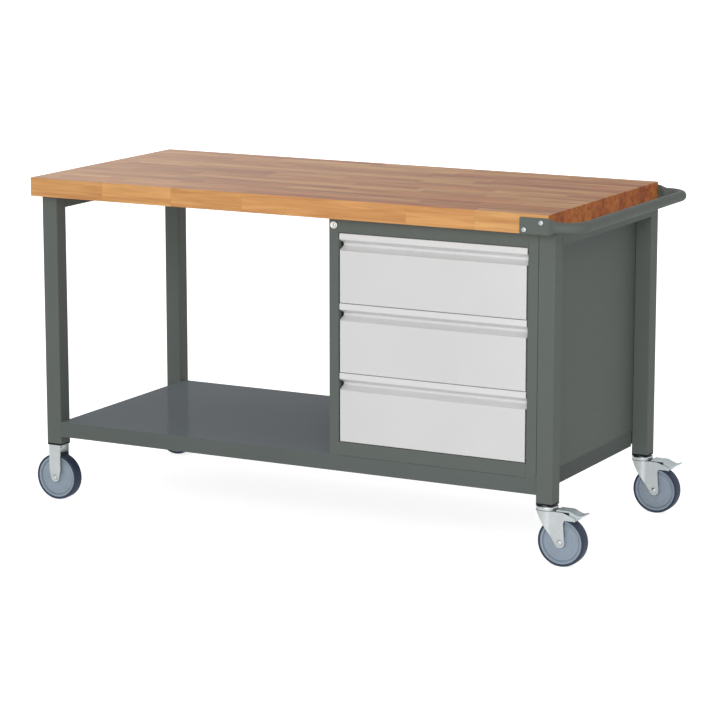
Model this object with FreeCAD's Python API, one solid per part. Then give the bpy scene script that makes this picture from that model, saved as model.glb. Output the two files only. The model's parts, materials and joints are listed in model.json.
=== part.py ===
import FreeCAD, Part
import math
import os

# Mobile workbench: a steel tube frame on four casters, a thick wooden worktop, a lower shelf,
# a three-drawer cabinet at the right and a push handle on the right end.
# Millimetres. +X points at the push handle, -Y is the drawer side, +Z is up. The origin is on the
# floor, in the middle of the whole bench's outline.

Vec = FreeCAD.Vector
X_AXIS = Vec(1, 0, 0)
Y_AXIS = Vec(0, 1, 0)
Z_AXIS = Vec(0, 0, 1)

# Worktop
BENCH_HEIGHT = 880.0
WORKTOP_LENGTH = 1500.0
WORKTOP_DEPTH = 700.0
WORKTOP_THICK = 50.0
WORKTOP_CHAMFER = 1.5

# Steel frame
LEG_SIDE = 45.0
LEG_WALL = 2.0
LEG_ROUND = 3.0
OVERHANG_LEFT = 16.0
OVERHANG_RIGHT = -6.0
OVERHANG_FRONT = 30.0
OVERHANG_REAR = 10.0
RAIL_HEIGHT = 35.0
RAIL_WALL = 2.0
PLUG_FLANGE = 5.0
PLUG_DEPTH = 30.0
PLUG_CLEARANCE = 0.2

# Shelf tray
SHELF_TOP = 218.0
SHELF_LIP = 41.0
SHELF_SHEET = 1.5
SHELF_REAR_INSET = 21.0
SHELF_END_GAP = 4.0

# Drawer cabinet
CABINET_WIDTH = 578.0
CABINET_REAR_INSET = 25.0
CABINET_SHEET = 1.5
STILE_WIDTH = 27.0
TOP_RAIL = 37.5
BOTTOM_RAIL = 36.0
EDGE_FOLD = 15.0
FLANGE_WIDTH = 16.0
FLANGE_FRONT_INSET = 76.0
FLANGE_REAR_INSET = 30.0
POST_WIDTH = 30.0
POST_REAR_INSET = 80.0
POST_HOLE_GAP = 20.0

# Drawers
DRAWER_NAMES = ("top", "middle", "bottom")
DRAWER_SIDE_GAP = 4.0
DRAWER_GAP = 1.5
FRONT_DEPTH = 30.0
FRONT_SHEET = 1.5
FRONT_RETURN = 20.0
GRIP_SHEET = 2.0
GRIP_LIP = 16.0
GRIP_HEIGHT = 43.5
GRIP_REACH = 24.0
GRIP_SLOPE = 11.0
GRIP_FLOOR = 6.5
GRIP_WIDER = 1.5
BOX_REAR_GAP = 45.0
BOX_SHEET = 1.2
BOX_LIFT = 10.0
BOX_DROP = 47.0

# Telescopic slides
SLIDE_DEPTH = 13.0
SLIDE_REAR_GAP = 45.0
SLIDE_HEIGHT = 45.0
SLIDE_SHEET = 1.5
SLIDE_GAP = 0.6
SLIDE_REACH = 10.0
SLIDE_SET_BACK = 40.0
SLIDE_RISE = 36.0

# Cylinder lock and its bar
LOCK_RIM = 21.0
LOCK_RIM_DEPTH = 2.5
LOCK_BODY = 18.0
LOCK_LENGTH = 26.0
LOCK_PLUG = 12.0
LOCK_TURN = 90.0
KEYHOLE_WIDTH = 1.6
KEYHOLE_HEIGHT = 7.0
KEYHOLE_DEPTH = 6.0
CRANK_RADIUS = 6.0
CRANK_THICK = 3.0
CRANK_GAP = 0.5
CRANK_PIN = 5.0
BAR_THICK = 3.0
BAR_WIDTH = 20.0
BAR_GAP = 1.5
BAR_PLAY = 0.4
BAR_END_GAP = 8.0
CATCH_REACH = 8.0
CATCH_THICK = 3.0
CATCH_HEIGHT = 12.0
CATCH_RISE = 74.0
CATCH_GAP = 3.0
TAB_HEIGHT = 7.0
TAB_OVERLAP = 4.0

# Push handle
HANDLE_TUBE = 27.0
HANDLE_WALL = 2.2
HANDLE_REACH = 80.0
HANDLE_BEND = 50.0
HANDLE_TAPER = 24.0
HANDLE_PLATE = 75.0
HANDLE_DROP = 29.0
FLAT_CORNER = 1.8
TAPER_UNDERCUT = 0.2
TAPER_STRAIGHT = 0.1

# Casters
CASTER_HEIGHT = 152.0
WHEEL_DIAMETER = 125.0
WHEEL_WIDTH = 32.0
TYRE_THICK = 6.5
TYRE_ROUND = 4.0
HUB_WIDTH = 30.0
HUB_RIM = 6.0
HUB_RECESS = 4.0
HUB_BOSS = 30.0
FORK_SHEET = 3.0
FORK_GAP = 3.5
FORK_WIDTH = 35.0
FORK_TAPER_ABOVE_AXLE = 20.0
FORK_TIP = 25.0
HUB_END_PLAY = 0.8
AXLE = 10.0
AXLE_HEAD = 14.0
AXLE_HEAD_DEPTH = 4.0
TRAIL = 43.0
RACE_DIAMETER = 56.0
RACE_NECK = 42.0
RACE_HEIGHT = 11.7
RACE_FLANGE = 9.5
RACE_GAP = 0.3
FORK_HEAD = 57.0
FORK_LEAD = 20.0
CROWN_REACH = 36.0
CHEEK_REAR = 9.0
CHEEK_WAIST_DROP = 27.0
EAR_REACH = 84.0
EAR_LOW_DROP = 19.5
EAR_END_DROP = 11.0
EAR_SLOPE_START = 50.0
EAR_CORNER = 3.0
PEDAL_PIVOT_REACH = 74.0
PEDAL_PIVOT_DROP = 13.5
PEDAL_PIN = 6.0
PEDAL_SIDE_GAP = 1.0
PEDAL_SHEET = 3.5
PEDAL_ARM = 42.0
PEDAL_ARM_TOP = 18.0
PEDAL_SHOULDER = 7.0
PEDAL_UNDER = 8.0
PEDAL_DIP = 8.0
PEDAL_DIP_REACH = 18.0
PEDAL_TOE = 31.5
PEDAL_TOE_TOP = 12.0

# Fasteners
BOLT = 12.0
BOLT_HEAD = 19.0
BOLT_HEAD_DEPTH = 8.0
BOLT_ENTRY = 20.0
HANDLE_SCREW = 8.0
HANDLE_SCREW_HEAD = 13.0
HANDLE_SCREW_HEAD_DEPTH = 4.0
HANDLE_SCREW_LENGTH = 45.0
HANDLE_SCREW_INSETS = (17.5, 62.5)
HANDLE_SCREW_STAGGER = 9.5
WOOD_SCREW = 6.0
WOOD_SCREW_HEAD = 12.0
WOOD_SCREW_HEAD_DEPTH = 4.0
WOOD_SCREW_BITE = 30.0
SHEET_BOLT_LENGTH = 8.0
RAIL_HOLE_INSET = 105.0
FASTENER_CLEARANCE = 0.3
RUNNING_CLEARANCE = 0.05

# Places worked out from the sizes
wheel_radius = WHEEL_DIAMETER / 2
wheel_past_left = wheel_radius - OVERHANG_LEFT - LEG_SIDE / 2
handle_past_right = HANDLE_REACH + HANDLE_TUBE / 2
x_left = (wheel_past_left - WORKTOP_LENGTH - handle_past_right) / 2
x_right = x_left + WORKTOP_LENGTH
y_front = -WORKTOP_DEPTH / 2
y_rear = WORKTOP_DEPTH / 2
z_under = BENCH_HEIGHT - WORKTOP_THICK
z_leg = CASTER_HEIGHT + PLUG_FLANGE

leg_x = {"left": x_left + OVERHANG_LEFT + LEG_SIDE / 2, "right": x_right - OVERHANG_RIGHT - LEG_SIDE / 2}
leg_y = {"front": y_front + OVERHANG_FRONT + LEG_SIDE / 2, "rear": y_rear - OVERHANG_REAR - LEG_SIDE / 2}
bay_left = leg_x["left"] + LEG_SIDE / 2
bay_right = leg_x["right"] - LEG_SIDE / 2
frame_front = leg_y["front"] - LEG_SIDE / 2
frame_rear = leg_y["rear"] + LEG_SIDE / 2
rail_front = leg_y["front"] + LEG_SIDE / 2
rail_rear = leg_y["rear"] - LEG_SIDE / 2

cabinet_half = CABINET_WIDTH / 2
cabinet_mid = bay_right - cabinet_half
cabinet_left = bay_right - CABINET_WIDTH
cabinet_front = frame_front
cabinet_rear = frame_rear - CABINET_REAR_INSET
opening_half = cabinet_half - STILE_WIDTH
opening_bottom = SHELF_TOP + BOTTOM_RAIL
opening_top = z_under - TOP_RAIL

drawer_count = len(DRAWER_NAMES)
front_half = opening_half - DRAWER_SIDE_GAP
front_height = (opening_top - opening_bottom - (drawer_count + 1) * DRAWER_GAP) / drawer_count
front_bottom = {
    name: opening_bottom + DRAWER_GAP + (drawer_count - 1 - step) * (front_height + DRAWER_GAP)
    for step, name in enumerate(DRAWER_NAMES)
}
box_half = front_half - SLIDE_DEPTH
box_front = cabinet_front + FRONT_DEPTH
box_rear = cabinet_rear - BOX_REAR_GAP
box_height = front_height - BOX_LIFT - BOX_DROP
slide_front = cabinet_front + SLIDE_SET_BACK
slide_rear = cabinet_rear - SLIDE_REAR_GAP
rear_post_end = slide_rear - POST_REAR_INSET

lock_x = cabinet_left + STILE_WIDTH / 2
lock_z = z_under - TOP_RAIL / 2
crank_front = cabinet_front + LOCK_LENGTH + CRANK_GAP
bar_front = crank_front + CRANK_THICK + BAR_GAP
bar_rear = bar_front + BAR_THICK
crank_start = math.radians(LOCK_TURN / 2)
bar_travel = 2 * CRANK_RADIUS * math.sin(crank_start)

handle_x = x_right + HANDLE_REACH
handle_z = BENCH_HEIGHT - HANDLE_DROP
flat_half_height = (math.pi * (HANDLE_TUBE - HANDLE_WALL) / 2 + HANDLE_WALL) / 2

fork_inner = WHEEL_WIDTH / 2 + FORK_GAP
fork_outer = fork_inner + FORK_SHEET
crown_z = CASTER_HEIGHT - RACE_HEIGHT - RACE_GAP
pedal_z = crown_z - PEDAL_PIVOT_DROP

wood_screw_hole = WOOD_SCREW + 2 * FASTENER_CLEARANCE
handle_screw_hole = HANDLE_SCREW + 2 * FASTENER_CLEARANCE
bolt_hole = BOLT + 2 * FASTENER_CLEARANCE


def block(x0, x1, y0, y1, z0, z1):
    """Box between two corners."""
    return Part.makeBox(x1 - x0, y1 - y0, z1 - z0, Vec(x0, y0, z0))


def rod(diameter, start, along, length):
    """Round bar from a point along a direction."""
    return Part.makeCylinder(diameter / 2, length, start, along)


def prism(outline, axis, start, end):
    """Solid of a flat outline drawn in the other two axes, between two places along one axis."""
    along = {"x": X_AXIS, "y": Y_AXIS, "z": Z_AXIS}[axis]
    across = [other for other in (X_AXIS, Y_AXIS, Z_AXIS) if other != along]
    corners = [along * start + across[0] * a + across[1] * b for a, b in outline]
    face = Part.Face(Part.makePolygon(corners + corners[:1]))
    return face.extrude(along * (end - start))


def folded(points, thick):
    """Outline of a bent strip of sheet: the points run along one face, the sheet lies to their left."""
    normals = []
    for (a, b), (c, d) in zip(points, points[1:]):
        length = math.hypot(c - a, d - b)
        normals.append((-(d - b) / length, (c - a) / length))
    far_side = []
    for step, (a, b) in enumerate(points):
        before = normals[max(step - 1, 0)]
        after = normals[min(step, len(normals) - 1)]
        stretch = thick / (1 + before[0] * after[0] + before[1] * after[1])
        far_side.append((a + stretch * (before[0] + after[0]), b + stretch * (before[1] + after[1])))
    return list(points) + far_side[::-1]


def hexagon(across, middle_x, middle_z):
    """Corners of a bolt head of a given width across its flats."""
    reach = across / math.sqrt(3)
    turns = [math.radians(60 * step) for step in range(6)]
    return [(middle_x + reach * math.cos(turn), middle_z + reach * math.sin(turn)) for turn in turns]


def tangent(point, centre, radius, side):
    """Where a line from a point touches a circle; side +1 or -1 picks one of the two lines."""
    away_x, away_z = point[0] - centre[0], point[1] - centre[1]
    turn = math.atan2(away_z, away_x) + side * math.acos(radius / math.hypot(away_x, away_z))
    return (centre[0] + radius * math.cos(turn), centre[1] + radius * math.sin(turn))


def flip_cabinet(shape):
    """The same piece on the other side of the cabinet."""
    return shape.mirror(Vec(cabinet_mid, 0, 0), X_AXIS)


def screw(point, along, length, diameter, head, head_depth):
    """Screw whose head sits on a point and whose shank goes in from there."""
    shank = rod(diameter, point, along, length)
    return shank.fuse(rod(head, point - along * head_depth, along, head_depth)).removeSplitter()


# Fastener places, shared by the screws and by the holes that they go through

def handle_screw_points():
    """Each handle screw's seat on the flattened tube ends, with its direction."""
    points = []
    stagger = (HANDLE_SCREW_STAGGER, -HANDLE_SCREW_STAGGER)
    for inset, offset in zip(HANDLE_SCREW_INSETS, stagger):
        place_z = handle_z + offset
        points.append((Vec(x_right - inset, y_front - 2 * HANDLE_WALL, place_z), Y_AXIS))
        points.append((Vec(x_right - inset, y_rear + 2 * HANDLE_WALL, place_z), -Y_AXIS))
    return points


def rail_screw_points():
    """Where screws pass up through each cross rail into the worktop."""
    places_y = (rail_front + RAIL_HOLE_INSET, rail_rear - RAIL_HOLE_INSET)
    return [Vec(x, y, z_under - RAIL_HEIGHT) for x in leg_x.values() for y in places_y]


def cabinet_screw_points():
    """Plan positions of the screws in the cabinet's flanges, each just behind a slide post."""
    reach = cabinet_half - CABINET_SHEET - FLANGE_WIDTH / 2
    post_ends = (slide_front + POST_WIDTH, rear_post_end)
    places_y = [end + POST_HOLE_GAP for end in post_ends]
    return [(cabinet_mid + side * reach, y) for side in (-1, 1) for y in places_y]


# Worktop and frame

def worktop():
    top = block(x_left, x_right, y_front, y_rear, z_under, BENCH_HEIGHT)
    upper = [edge for edge in top.Edges if edge.BoundBox.ZMin > BENCH_HEIGHT - WORKTOP_THICK / 2]
    top = top.makeChamfer(WORKTOP_CHAMFER, upper)
    for point, along in handle_screw_points():
        top = top.cut(rod(handle_screw_hole, point, along, HANDLE_SCREW_LENGTH + FASTENER_CLEARANCE))
    depth = WOOD_SCREW_BITE + FASTENER_CLEARANCE
    spots = [(point.x, point.y) for point in rail_screw_points()] + cabinet_screw_points()
    for x, y in spots:
        top = top.cut(rod(wood_screw_hole, Vec(x, y, z_under), Z_AXIS, depth))
    return top


def leg(x, y):
    half = LEG_SIDE / 2
    inner = half - LEG_WALL
    outside = block(x - half, x + half, y - half, y + half, z_leg, z_under)
    upright = [edge for edge in outside.Edges if edge.BoundBox.ZLength > LEG_SIDE]
    outside = outside.makeFillet(LEG_ROUND, upright)
    return outside.cut(block(x - inner, x + inner, y - inner, y + inner, z_leg, z_under))


def leg_plug(x, y):
    half = LEG_SIDE / 2
    inner = half - LEG_WALL - PLUG_CLEARANCE
    flange = block(x - half, x + half, y - half, y + half, CASTER_HEIGHT, z_leg)
    upright = [edge for edge in flange.Edges if edge.BoundBox.ZLength > PLUG_FLANGE / 2]
    flange = flange.makeFillet(LEG_ROUND, upright)
    plug = flange.fuse(block(x - inner, x + inner, y - inner, y + inner, z_leg, z_leg + PLUG_DEPTH))
    bore = rod(bolt_hole, Vec(x, y, CASTER_HEIGHT), Z_AXIS, PLUG_FLANGE + PLUG_DEPTH)
    return plug.cut(bore).removeSplitter()


def cross_rail(x):
    half = LEG_SIDE / 2
    inner = half - RAIL_WALL
    low = z_under - RAIL_HEIGHT
    rail = block(x - half, x + half, rail_front, rail_rear, low, z_under)
    rail = rail.cut(block(x - inner, x + inner, rail_front, rail_rear, low + RAIL_WALL, z_under - RAIL_WALL))
    for point in rail_screw_points():
        rail = rail.cut(rod(wood_screw_hole, point, Z_AXIS, RAIL_HEIGHT))
    return rail


def shelf_tray():
    low = SHELF_TOP - SHELF_LIP
    rear = frame_rear - SHELF_REAR_INSET
    sheet = SHELF_SHEET
    pieces = [
        block(bay_left, bay_right, frame_front, rear, SHELF_TOP - sheet, SHELF_TOP),
        block(bay_left, bay_right, frame_front, frame_front + sheet, low, SHELF_TOP),
        block(bay_left, bay_right, rear - sheet, rear, low, SHELF_TOP),
    ]
    end_front = rail_front + SHELF_END_GAP
    end_rear = rail_rear - SHELF_END_GAP
    for x0 in (bay_left, bay_right - sheet):
        pieces.append(block(x0, x0 + sheet, end_front, end_rear, low, SHELF_TOP))
    tray = pieces[0].multiFuse(pieces[1:]).removeSplitter()
    for x, y in cabinet_screw_points():
        tray = tray.cut(rod(wood_screw_hole, Vec(x, y, SHELF_TOP - sheet), Z_AXIS, sheet))
    return tray


# Cabinet

def cabinet_side_right():
    """Side panel folded in one piece with its stile, its rear edge and its screwed flanges."""
    outer = cabinet_mid + cabinet_half
    inner = cabinet_mid + opening_half
    path = [
        (inner, cabinet_front + EDGE_FOLD),
        (inner, cabinet_front),
        (outer, cabinet_front),
        (outer, cabinet_rear),
        (outer - EDGE_FOLD, cabinet_rear),
    ]
    side = prism(folded(path, CABINET_SHEET), "z", SHELF_TOP, z_under)
    x1 = outer - CABINET_SHEET
    y0 = cabinet_front + FLANGE_FRONT_INSET
    y1 = cabinet_rear - FLANGE_REAR_INSET
    for z0 in (SHELF_TOP, z_under - CABINET_SHEET):
        side = side.fuse(block(x1 - FLANGE_WIDTH, x1, y0, y1, z0, z0 + CABINET_SHEET))
    for x, y in cabinet_screw_points():
        side = side.cut(rod(wood_screw_hole, Vec(x, y, SHELF_TOP), Z_AXIS, z_under - SHELF_TOP))
    return side.removeSplitter()


def cabinet_side_left():
    side = flip_cabinet(cabinet_side_right())
    hole = LOCK_BODY + 2 * FASTENER_CLEARANCE
    return side.cut(rod(hole, Vec(lock_x, cabinet_front, lock_z), Y_AXIS, CABINET_SHEET))


def front_rail(low, high):
    """Folded rail between the two stiles."""
    back = cabinet_front + EDGE_FOLD
    path = [(back, high), (cabinet_front, high), (cabinet_front, low), (back, low)]
    return prism(folded(path, CABINET_SHEET), "x", cabinet_mid - opening_half, cabinet_mid + opening_half)


def cabinet_back():
    half = cabinet_half - CABINET_SHEET
    y1 = cabinet_rear - CABINET_SHEET
    return block(cabinet_mid - half, cabinet_mid + half, y1 - CABINET_SHEET, y1, SHELF_TOP, z_under)


def slide_posts():
    """Upright channels inside the cabinet that carry the slides level with the opening."""
    posts = []
    x_panel = cabinet_mid + cabinet_half - CABINET_SHEET
    x_face = cabinet_mid + front_half
    for y0 in (slide_front, rear_post_end - POST_WIDTH):
        y1 = y0 + POST_WIDTH
        path = [(x_panel, y1), (x_face, y1), (x_face, y0), (x_panel, y0)]
        post = prism(folded(path, CABINET_SHEET), "z", SHELF_TOP + CABINET_SHEET, z_under - CABINET_SHEET)
        posts += [post, flip_cabinet(post)]
    return Part.makeCompound(posts)


# Telescopic slides: the cabinet member holds the middle member, which holds the drawer member

def slide_height(name):
    return front_bottom[name] + BOX_LIFT + SLIDE_RISE


def slide_pair(path):
    slide = prism(folded(path, SLIDE_SHEET), "y", slide_front, slide_rear)
    return [slide, flip_cabinet(slide)]


def channel_slides(name, step):
    """Pair of channels open towards the drawer; each step nests one sheet and one gap further in."""
    nest = step * (SLIDE_SHEET + SLIDE_GAP)
    back = cabinet_mid + front_half - nest
    tip = cabinet_mid + front_half - SLIDE_REACH
    low = slide_height(name) - SLIDE_HEIGHT / 2 + nest
    high = slide_height(name) + SLIDE_HEIGHT / 2 - nest
    return slide_pair([(tip, low), (back, low), (back, high), (tip, high)])


def drawer_slides(name):
    middle_z = slide_height(name)
    nest = 2 * (SLIDE_SHEET + SLIDE_GAP)
    half = SLIDE_HEIGHT / 2 - nest
    back = cabinet_mid + box_half
    tip = cabinet_mid + front_half - nest
    path = [(tip, middle_z + half), (back, middle_z + half), (back, middle_z - half), (tip, middle_z - half)]
    return Part.makeCompound(slide_pair(path))


def cabinet_slides():
    members = []
    for name in DRAWER_NAMES:
        members += channel_slides(name, 0)
    return Part.makeCompound(members)


def middle_slides(name):
    return Part.makeCompound(channel_slides(name, 1))


# Drawers

def drawer_front(name):
    """Folded front panel, open at its two ends, with a rim turned in at the back to take the box."""
    low = front_bottom[name]
    high = low + front_height - GRIP_HEIGHT
    x0, x1 = cabinet_mid - front_half, cabinet_mid + front_half
    y0, y1 = cabinet_front + FRONT_SHEET, box_front - FRONT_SHEET
    pan = block(x0, x1, cabinet_front, box_front, low, high)
    sheet = FRONT_SHEET
    pan = pan.cut(block(x0, x1, y0, y1, low + sheet, high - sheet))
    rim = FRONT_RETURN
    return pan.cut(block(x0 + rim, x1 - rim, y1, box_front, low + rim, high - rim))


def grip_outline(name):
    """Outer face of the grip strip: in and out of the finger channel, over the top, down the back."""
    top = front_bottom[name] + front_height
    seam = top - GRIP_HEIGHT
    front = cabinet_front
    deep = front + GRIP_REACH
    channel_top = top - GRIP_LIP - GRIP_SLOPE
    return [
        (front, seam),
        (deep, channel_top - GRIP_FLOOR),
        (deep, channel_top),
        (front, top - GRIP_LIP),
        (front, top),
        (box_front, top),
        (box_front, seam),
    ]


def drawer_grip(name):
    """Bent strip that stands on the front panel's upper edge, a little wider than the panel."""
    x0 = cabinet_mid - front_half - GRIP_WIDER
    x1 = cabinet_mid + front_half + GRIP_WIDER
    path = grip_outline(name)[::-1]
    strip = prism(folded(path, GRIP_SHEET), "x", x0, x1)
    seam = front_bottom[name] + front_height - GRIP_HEIGHT
    return strip.cut(block(x0, x1, cabinet_front, box_front, seam - GRIP_SHEET, seam))


def drawer_box(name):
    """Open steel tray with a small catch on its left side for the lock bar."""
    low = front_bottom[name] + BOX_LIFT
    x0, x1 = cabinet_mid - box_half, cabinet_mid + box_half
    sheet = BOX_SHEET
    tray = block(x0, x1, box_front, box_rear, low, low + box_height)
    y0, y1 = box_front + sheet, box_rear - sheet
    tray = tray.cut(block(x0 + sheet, x1 - sheet, y0, y1, low + sheet, low + box_height))
    catch_y = bar_rear + CATCH_GAP
    catch_z = low + CATCH_RISE
    catch = block(x0 - CATCH_REACH, x0, catch_y, catch_y + CATCH_THICK, catch_z, catch_z + CATCH_HEIGHT)
    return tray.fuse(catch).removeSplitter()


# Cylinder lock

def lock_housing():
    face = Vec(lock_x, cabinet_front, lock_z)
    nose = face - Y_AXIS * LOCK_RIM_DEPTH
    rim = rod(LOCK_RIM, nose, Y_AXIS, LOCK_RIM_DEPTH)
    body = rod(LOCK_BODY, face, Y_AXIS, LOCK_LENGTH)
    bore = rod(LOCK_PLUG + 2 * RUNNING_CLEARANCE, nose, Y_AXIS, LOCK_RIM_DEPTH + LOCK_LENGTH)
    return rim.fuse(body).cut(bore).removeSplitter()


def lock_plug():
    """Turning plug with its keyhole in front and a crank pin behind that lifts the lock bar."""
    y0 = cabinet_front - LOCK_RIM_DEPTH
    plug = rod(LOCK_PLUG, Vec(lock_x, y0, lock_z), Y_AXIS, crank_front + CRANK_THICK - y0)
    half = KEYHOLE_WIDTH / 2
    rise = KEYHOLE_HEIGHT / 2
    plug = plug.cut(block(lock_x - half, lock_x + half, y0, y0 + KEYHOLE_DEPTH, lock_z - rise, lock_z + rise))
    pin_x = lock_x + CRANK_RADIUS * math.cos(crank_start)
    pin_z = lock_z - CRANK_RADIUS * math.sin(crank_start)
    pin = rod(CRANK_PIN, Vec(pin_x, crank_front, pin_z), Y_AXIS, bar_rear - crank_front)
    return plug.fuse(pin).removeSplitter()


def lock_bar():
    """Upright bar behind the stile: lifted, its tabs stand in front of the drawers' catches."""
    pin_half = CRANK_PIN / 2 + BAR_PLAY
    slot_x0 = lock_x + CRANK_RADIUS * math.cos(crank_start) - pin_half
    slot_x1 = lock_x + CRANK_RADIUS + pin_half
    slot_z = lock_z - CRANK_RADIUS * math.sin(crank_start)
    bar_x0 = lock_x - BAR_WIDTH / 2
    bar_x1 = lock_x + BAR_WIDTH / 2
    bar = block(bar_x0, bar_x1, bar_front, bar_rear, opening_bottom, lock_z + CRANK_RADIUS + BAR_END_GAP / 2)
    for name in DRAWER_NAMES:
        tab_top = front_bottom[name] + BOX_LIFT + CATCH_RISE - CATCH_GAP
        tab_x = cabinet_mid - box_half - CATCH_REACH + TAB_OVERLAP
        bar = bar.fuse(block(bar_x0, tab_x, bar_front, bar_rear, tab_top - TAB_HEIGHT, tab_top))
    slot = block(slot_x0, slot_x1, bar_front, bar_rear, slot_z - pin_half, slot_z + pin_half)
    return bar.cut(slot).removeSplitter()


# Push handle

def tube_section(x, y, half_height, half_depth, corner):
    """Closed outline across the handle tube: four straight sides joined by round corners."""
    straight_z = half_height - corner
    straight_y = half_depth - corner
    bulge = corner * math.sqrt(0.5)
    edges = []
    for turn_y, turn_z in ((1, 1), (-1, 1), (-1, -1), (1, -1)):
        middle_y = y + turn_y * straight_y
        middle_z = handle_z + turn_z * straight_z
        side = Vec(x, middle_y + turn_y * corner, middle_z)
        crest = Vec(x, middle_y, middle_z + turn_z * corner)
        between = Vec(x, middle_y + turn_y * bulge, middle_z + turn_z * bulge)
        ends = (side, crest) if turn_y == turn_z else (crest, side)
        edges.append(Part.Arc(ends[0], between, ends[1]).toShape())
    joined = []
    for step, edge in enumerate(edges):
        joined.append(edge)
        following = edges[(step + 1) % len(edges)]
        joined.append(Part.LineSegment(edge.Vertexes[1].Point, following.Vertexes[0].Point).toShape())
    return Part.Wire(joined)


def handle_end(y):
    """Flattened end with its holes and the taper from flat to round."""
    radius = HANDLE_TUBE / 2 - TAPER_UNDERCUT
    flat = tube_section(x_right, y, flat_half_height, HANDLE_WALL, FLAT_CORNER)
    round_x = x_right + HANDLE_TAPER
    round_end = tube_section(round_x, y, radius, radius, radius - TAPER_STRAIGHT)
    taper = Part.makeLoft([flat, round_end], True, True)
    plate = Part.Face(flat).extrude(-X_AXIS * HANDLE_PLATE)
    return [taper, plate]


def push_handle():
    y0 = y_front - HANDLE_WALL
    y1 = y_rear + HANDLE_WALL
    bend = HANDLE_BEND
    start_x = x_right + HANDLE_TAPER
    half_turn = bend * (1 - math.sqrt(0.5))
    corner_x = handle_x - bend
    front_arc = Part.Arc(
        Vec(corner_x, y0, handle_z),
        Vec(handle_x - half_turn, y0 + half_turn, handle_z),
        Vec(handle_x, y0 + bend, handle_z),
    )
    rear_arc = Part.Arc(
        Vec(handle_x, y1 - bend, handle_z),
        Vec(handle_x - half_turn, y1 - half_turn, handle_z),
        Vec(corner_x, y1, handle_z),
    )
    path = Part.Wire([
        Part.LineSegment(Vec(start_x, y0, handle_z), Vec(corner_x, y0, handle_z)).toShape(),
        front_arc.toShape(),
        Part.LineSegment(Vec(handle_x, y0 + bend, handle_z), Vec(handle_x, y1 - bend, handle_z)).toShape(),
        rear_arc.toShape(),
        Part.LineSegment(Vec(corner_x, y1, handle_z), Vec(start_x, y1, handle_z)).toShape(),
    ])
    start = Vec(start_x, y0, handle_z)
    swept = []
    for radius in (HANDLE_TUBE / 2, HANDLE_TUBE / 2 - HANDLE_WALL):
        ring = Part.Wire(Part.makeCircle(radius, start, X_AXIS))
        swept.append(path.makePipeShell([ring], True, False))
    tube = swept[0].cut(swept[1])
    handle = tube.multiFuse(handle_end(y0) + handle_end(y1))
    for point, along in handle_screw_points():
        handle = handle.cut(rod(handle_screw_hole, point, along, 2 * HANDLE_WALL))
    return handle.removeSplitter()


# Casters

def wheel_hub(x, y):
    """Plastic wheel centre with a raised rim, a recessed web and a boss that runs on the axle."""
    middle = Vec(x, y, wheel_radius)
    rim = WHEEL_DIAMETER - 2 * TYRE_THICK
    half = HUB_WIDTH / 2
    hub = rod(rim, middle - Y_AXIS * half, Y_AXIS, HUB_WIDTH)
    for side in (-1, 1):
        start = middle + Y_AXIS * side * (half - HUB_RECESS)
        hub = hub.cut(rod(rim - 2 * HUB_RIM, start, Y_AXIS * side, HUB_RECESS))
    boss_half = fork_inner - HUB_END_PLAY
    hub = hub.fuse(rod(HUB_BOSS, middle - Y_AXIS * boss_half, Y_AXIS, 2 * boss_half))
    bore = AXLE + 2 * RUNNING_CLEARANCE
    return hub.cut(rod(bore, middle - Y_AXIS * boss_half, Y_AXIS, 2 * boss_half)).removeSplitter()


def wheel_tyre(x, y):
    start = Vec(x, y - WHEEL_WIDTH / 2, wheel_radius)
    tyre = rod(WHEEL_DIAMETER, start, Y_AXIS, WHEEL_WIDTH)
    tyre = tyre.makeFillet(TYRE_ROUND, [edge for edge in tyre.Edges if edge.Closed])
    return tyre.cut(rod(WHEEL_DIAMETER - 2 * TYRE_THICK, start, Y_AXIS, WHEEL_WIDTH))


def wheel_axle(x, y):
    """Axle bolt with a hexagon on each end, tight against the fork's cheeks."""
    axle = rod(AXLE, Vec(x, y - fork_outer, wheel_radius), Y_AXIS, 2 * fork_outer)
    outline = hexagon(AXLE_HEAD, x, wheel_radius)
    near = prism(outline, "y", y - fork_outer - AXLE_HEAD_DEPTH, y - fork_outer)
    far = prism(outline, "y", y + fork_outer, y + fork_outer + AXLE_HEAD_DEPTH)
    return axle.multiFuse([near, far]).removeSplitter()


def fixed_fork(x, y):
    half = FORK_WIDTH / 2
    tip = (0, wheel_radius)
    taper_z = wheel_radius + FORK_TAPER_ABOVE_AXLE
    outline = [
        (-half, CASTER_HEIGHT),
        (half, CASTER_HEIGHT),
        (half, taper_z),
        tangent((half, taper_z), tip, FORK_TIP / 2, -1),
        tangent((-half, taper_z), tip, FORK_TIP / 2, 1),
        (-half, taper_z),
    ]
    side_view = prism([(x + a, b) for a, b in outline], "y", y - fork_outer, y + fork_outer)
    axle_at = Vec(x, y - fork_outer, wheel_radius)
    fork = side_view.fuse(rod(FORK_TIP, axle_at, Y_AXIS, 2 * fork_outer))
    low = CASTER_HEIGHT - FORK_SHEET
    fork = fork.cut(block(x - half, x + half, y - fork_inner, y + fork_inner, 0, low))
    fork = fork.cut(rod(AXLE + 2 * RUNNING_CLEARANCE, axle_at, Y_AXIS, 2 * fork_outer))
    return fork.cut(rod(bolt_hole, Vec(x, y, low), Z_AXIS, FORK_SHEET)).removeSplitter()


def swivel_race(x, y):
    """Fixed half of the swivel bearing, held against the leg by the caster bolt."""
    low = CASTER_HEIGHT - RACE_HEIGHT
    race = rod(RACE_DIAMETER, Vec(x, y, low), Z_AXIS, RACE_FLANGE)
    race = race.fuse(rod(RACE_NECK, Vec(x, y, low), Z_AXIS, RACE_HEIGHT))
    return race.cut(rod(bolt_hole, Vec(x, y, low), Z_AXIS, RACE_HEIGHT)).removeSplitter()


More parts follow.
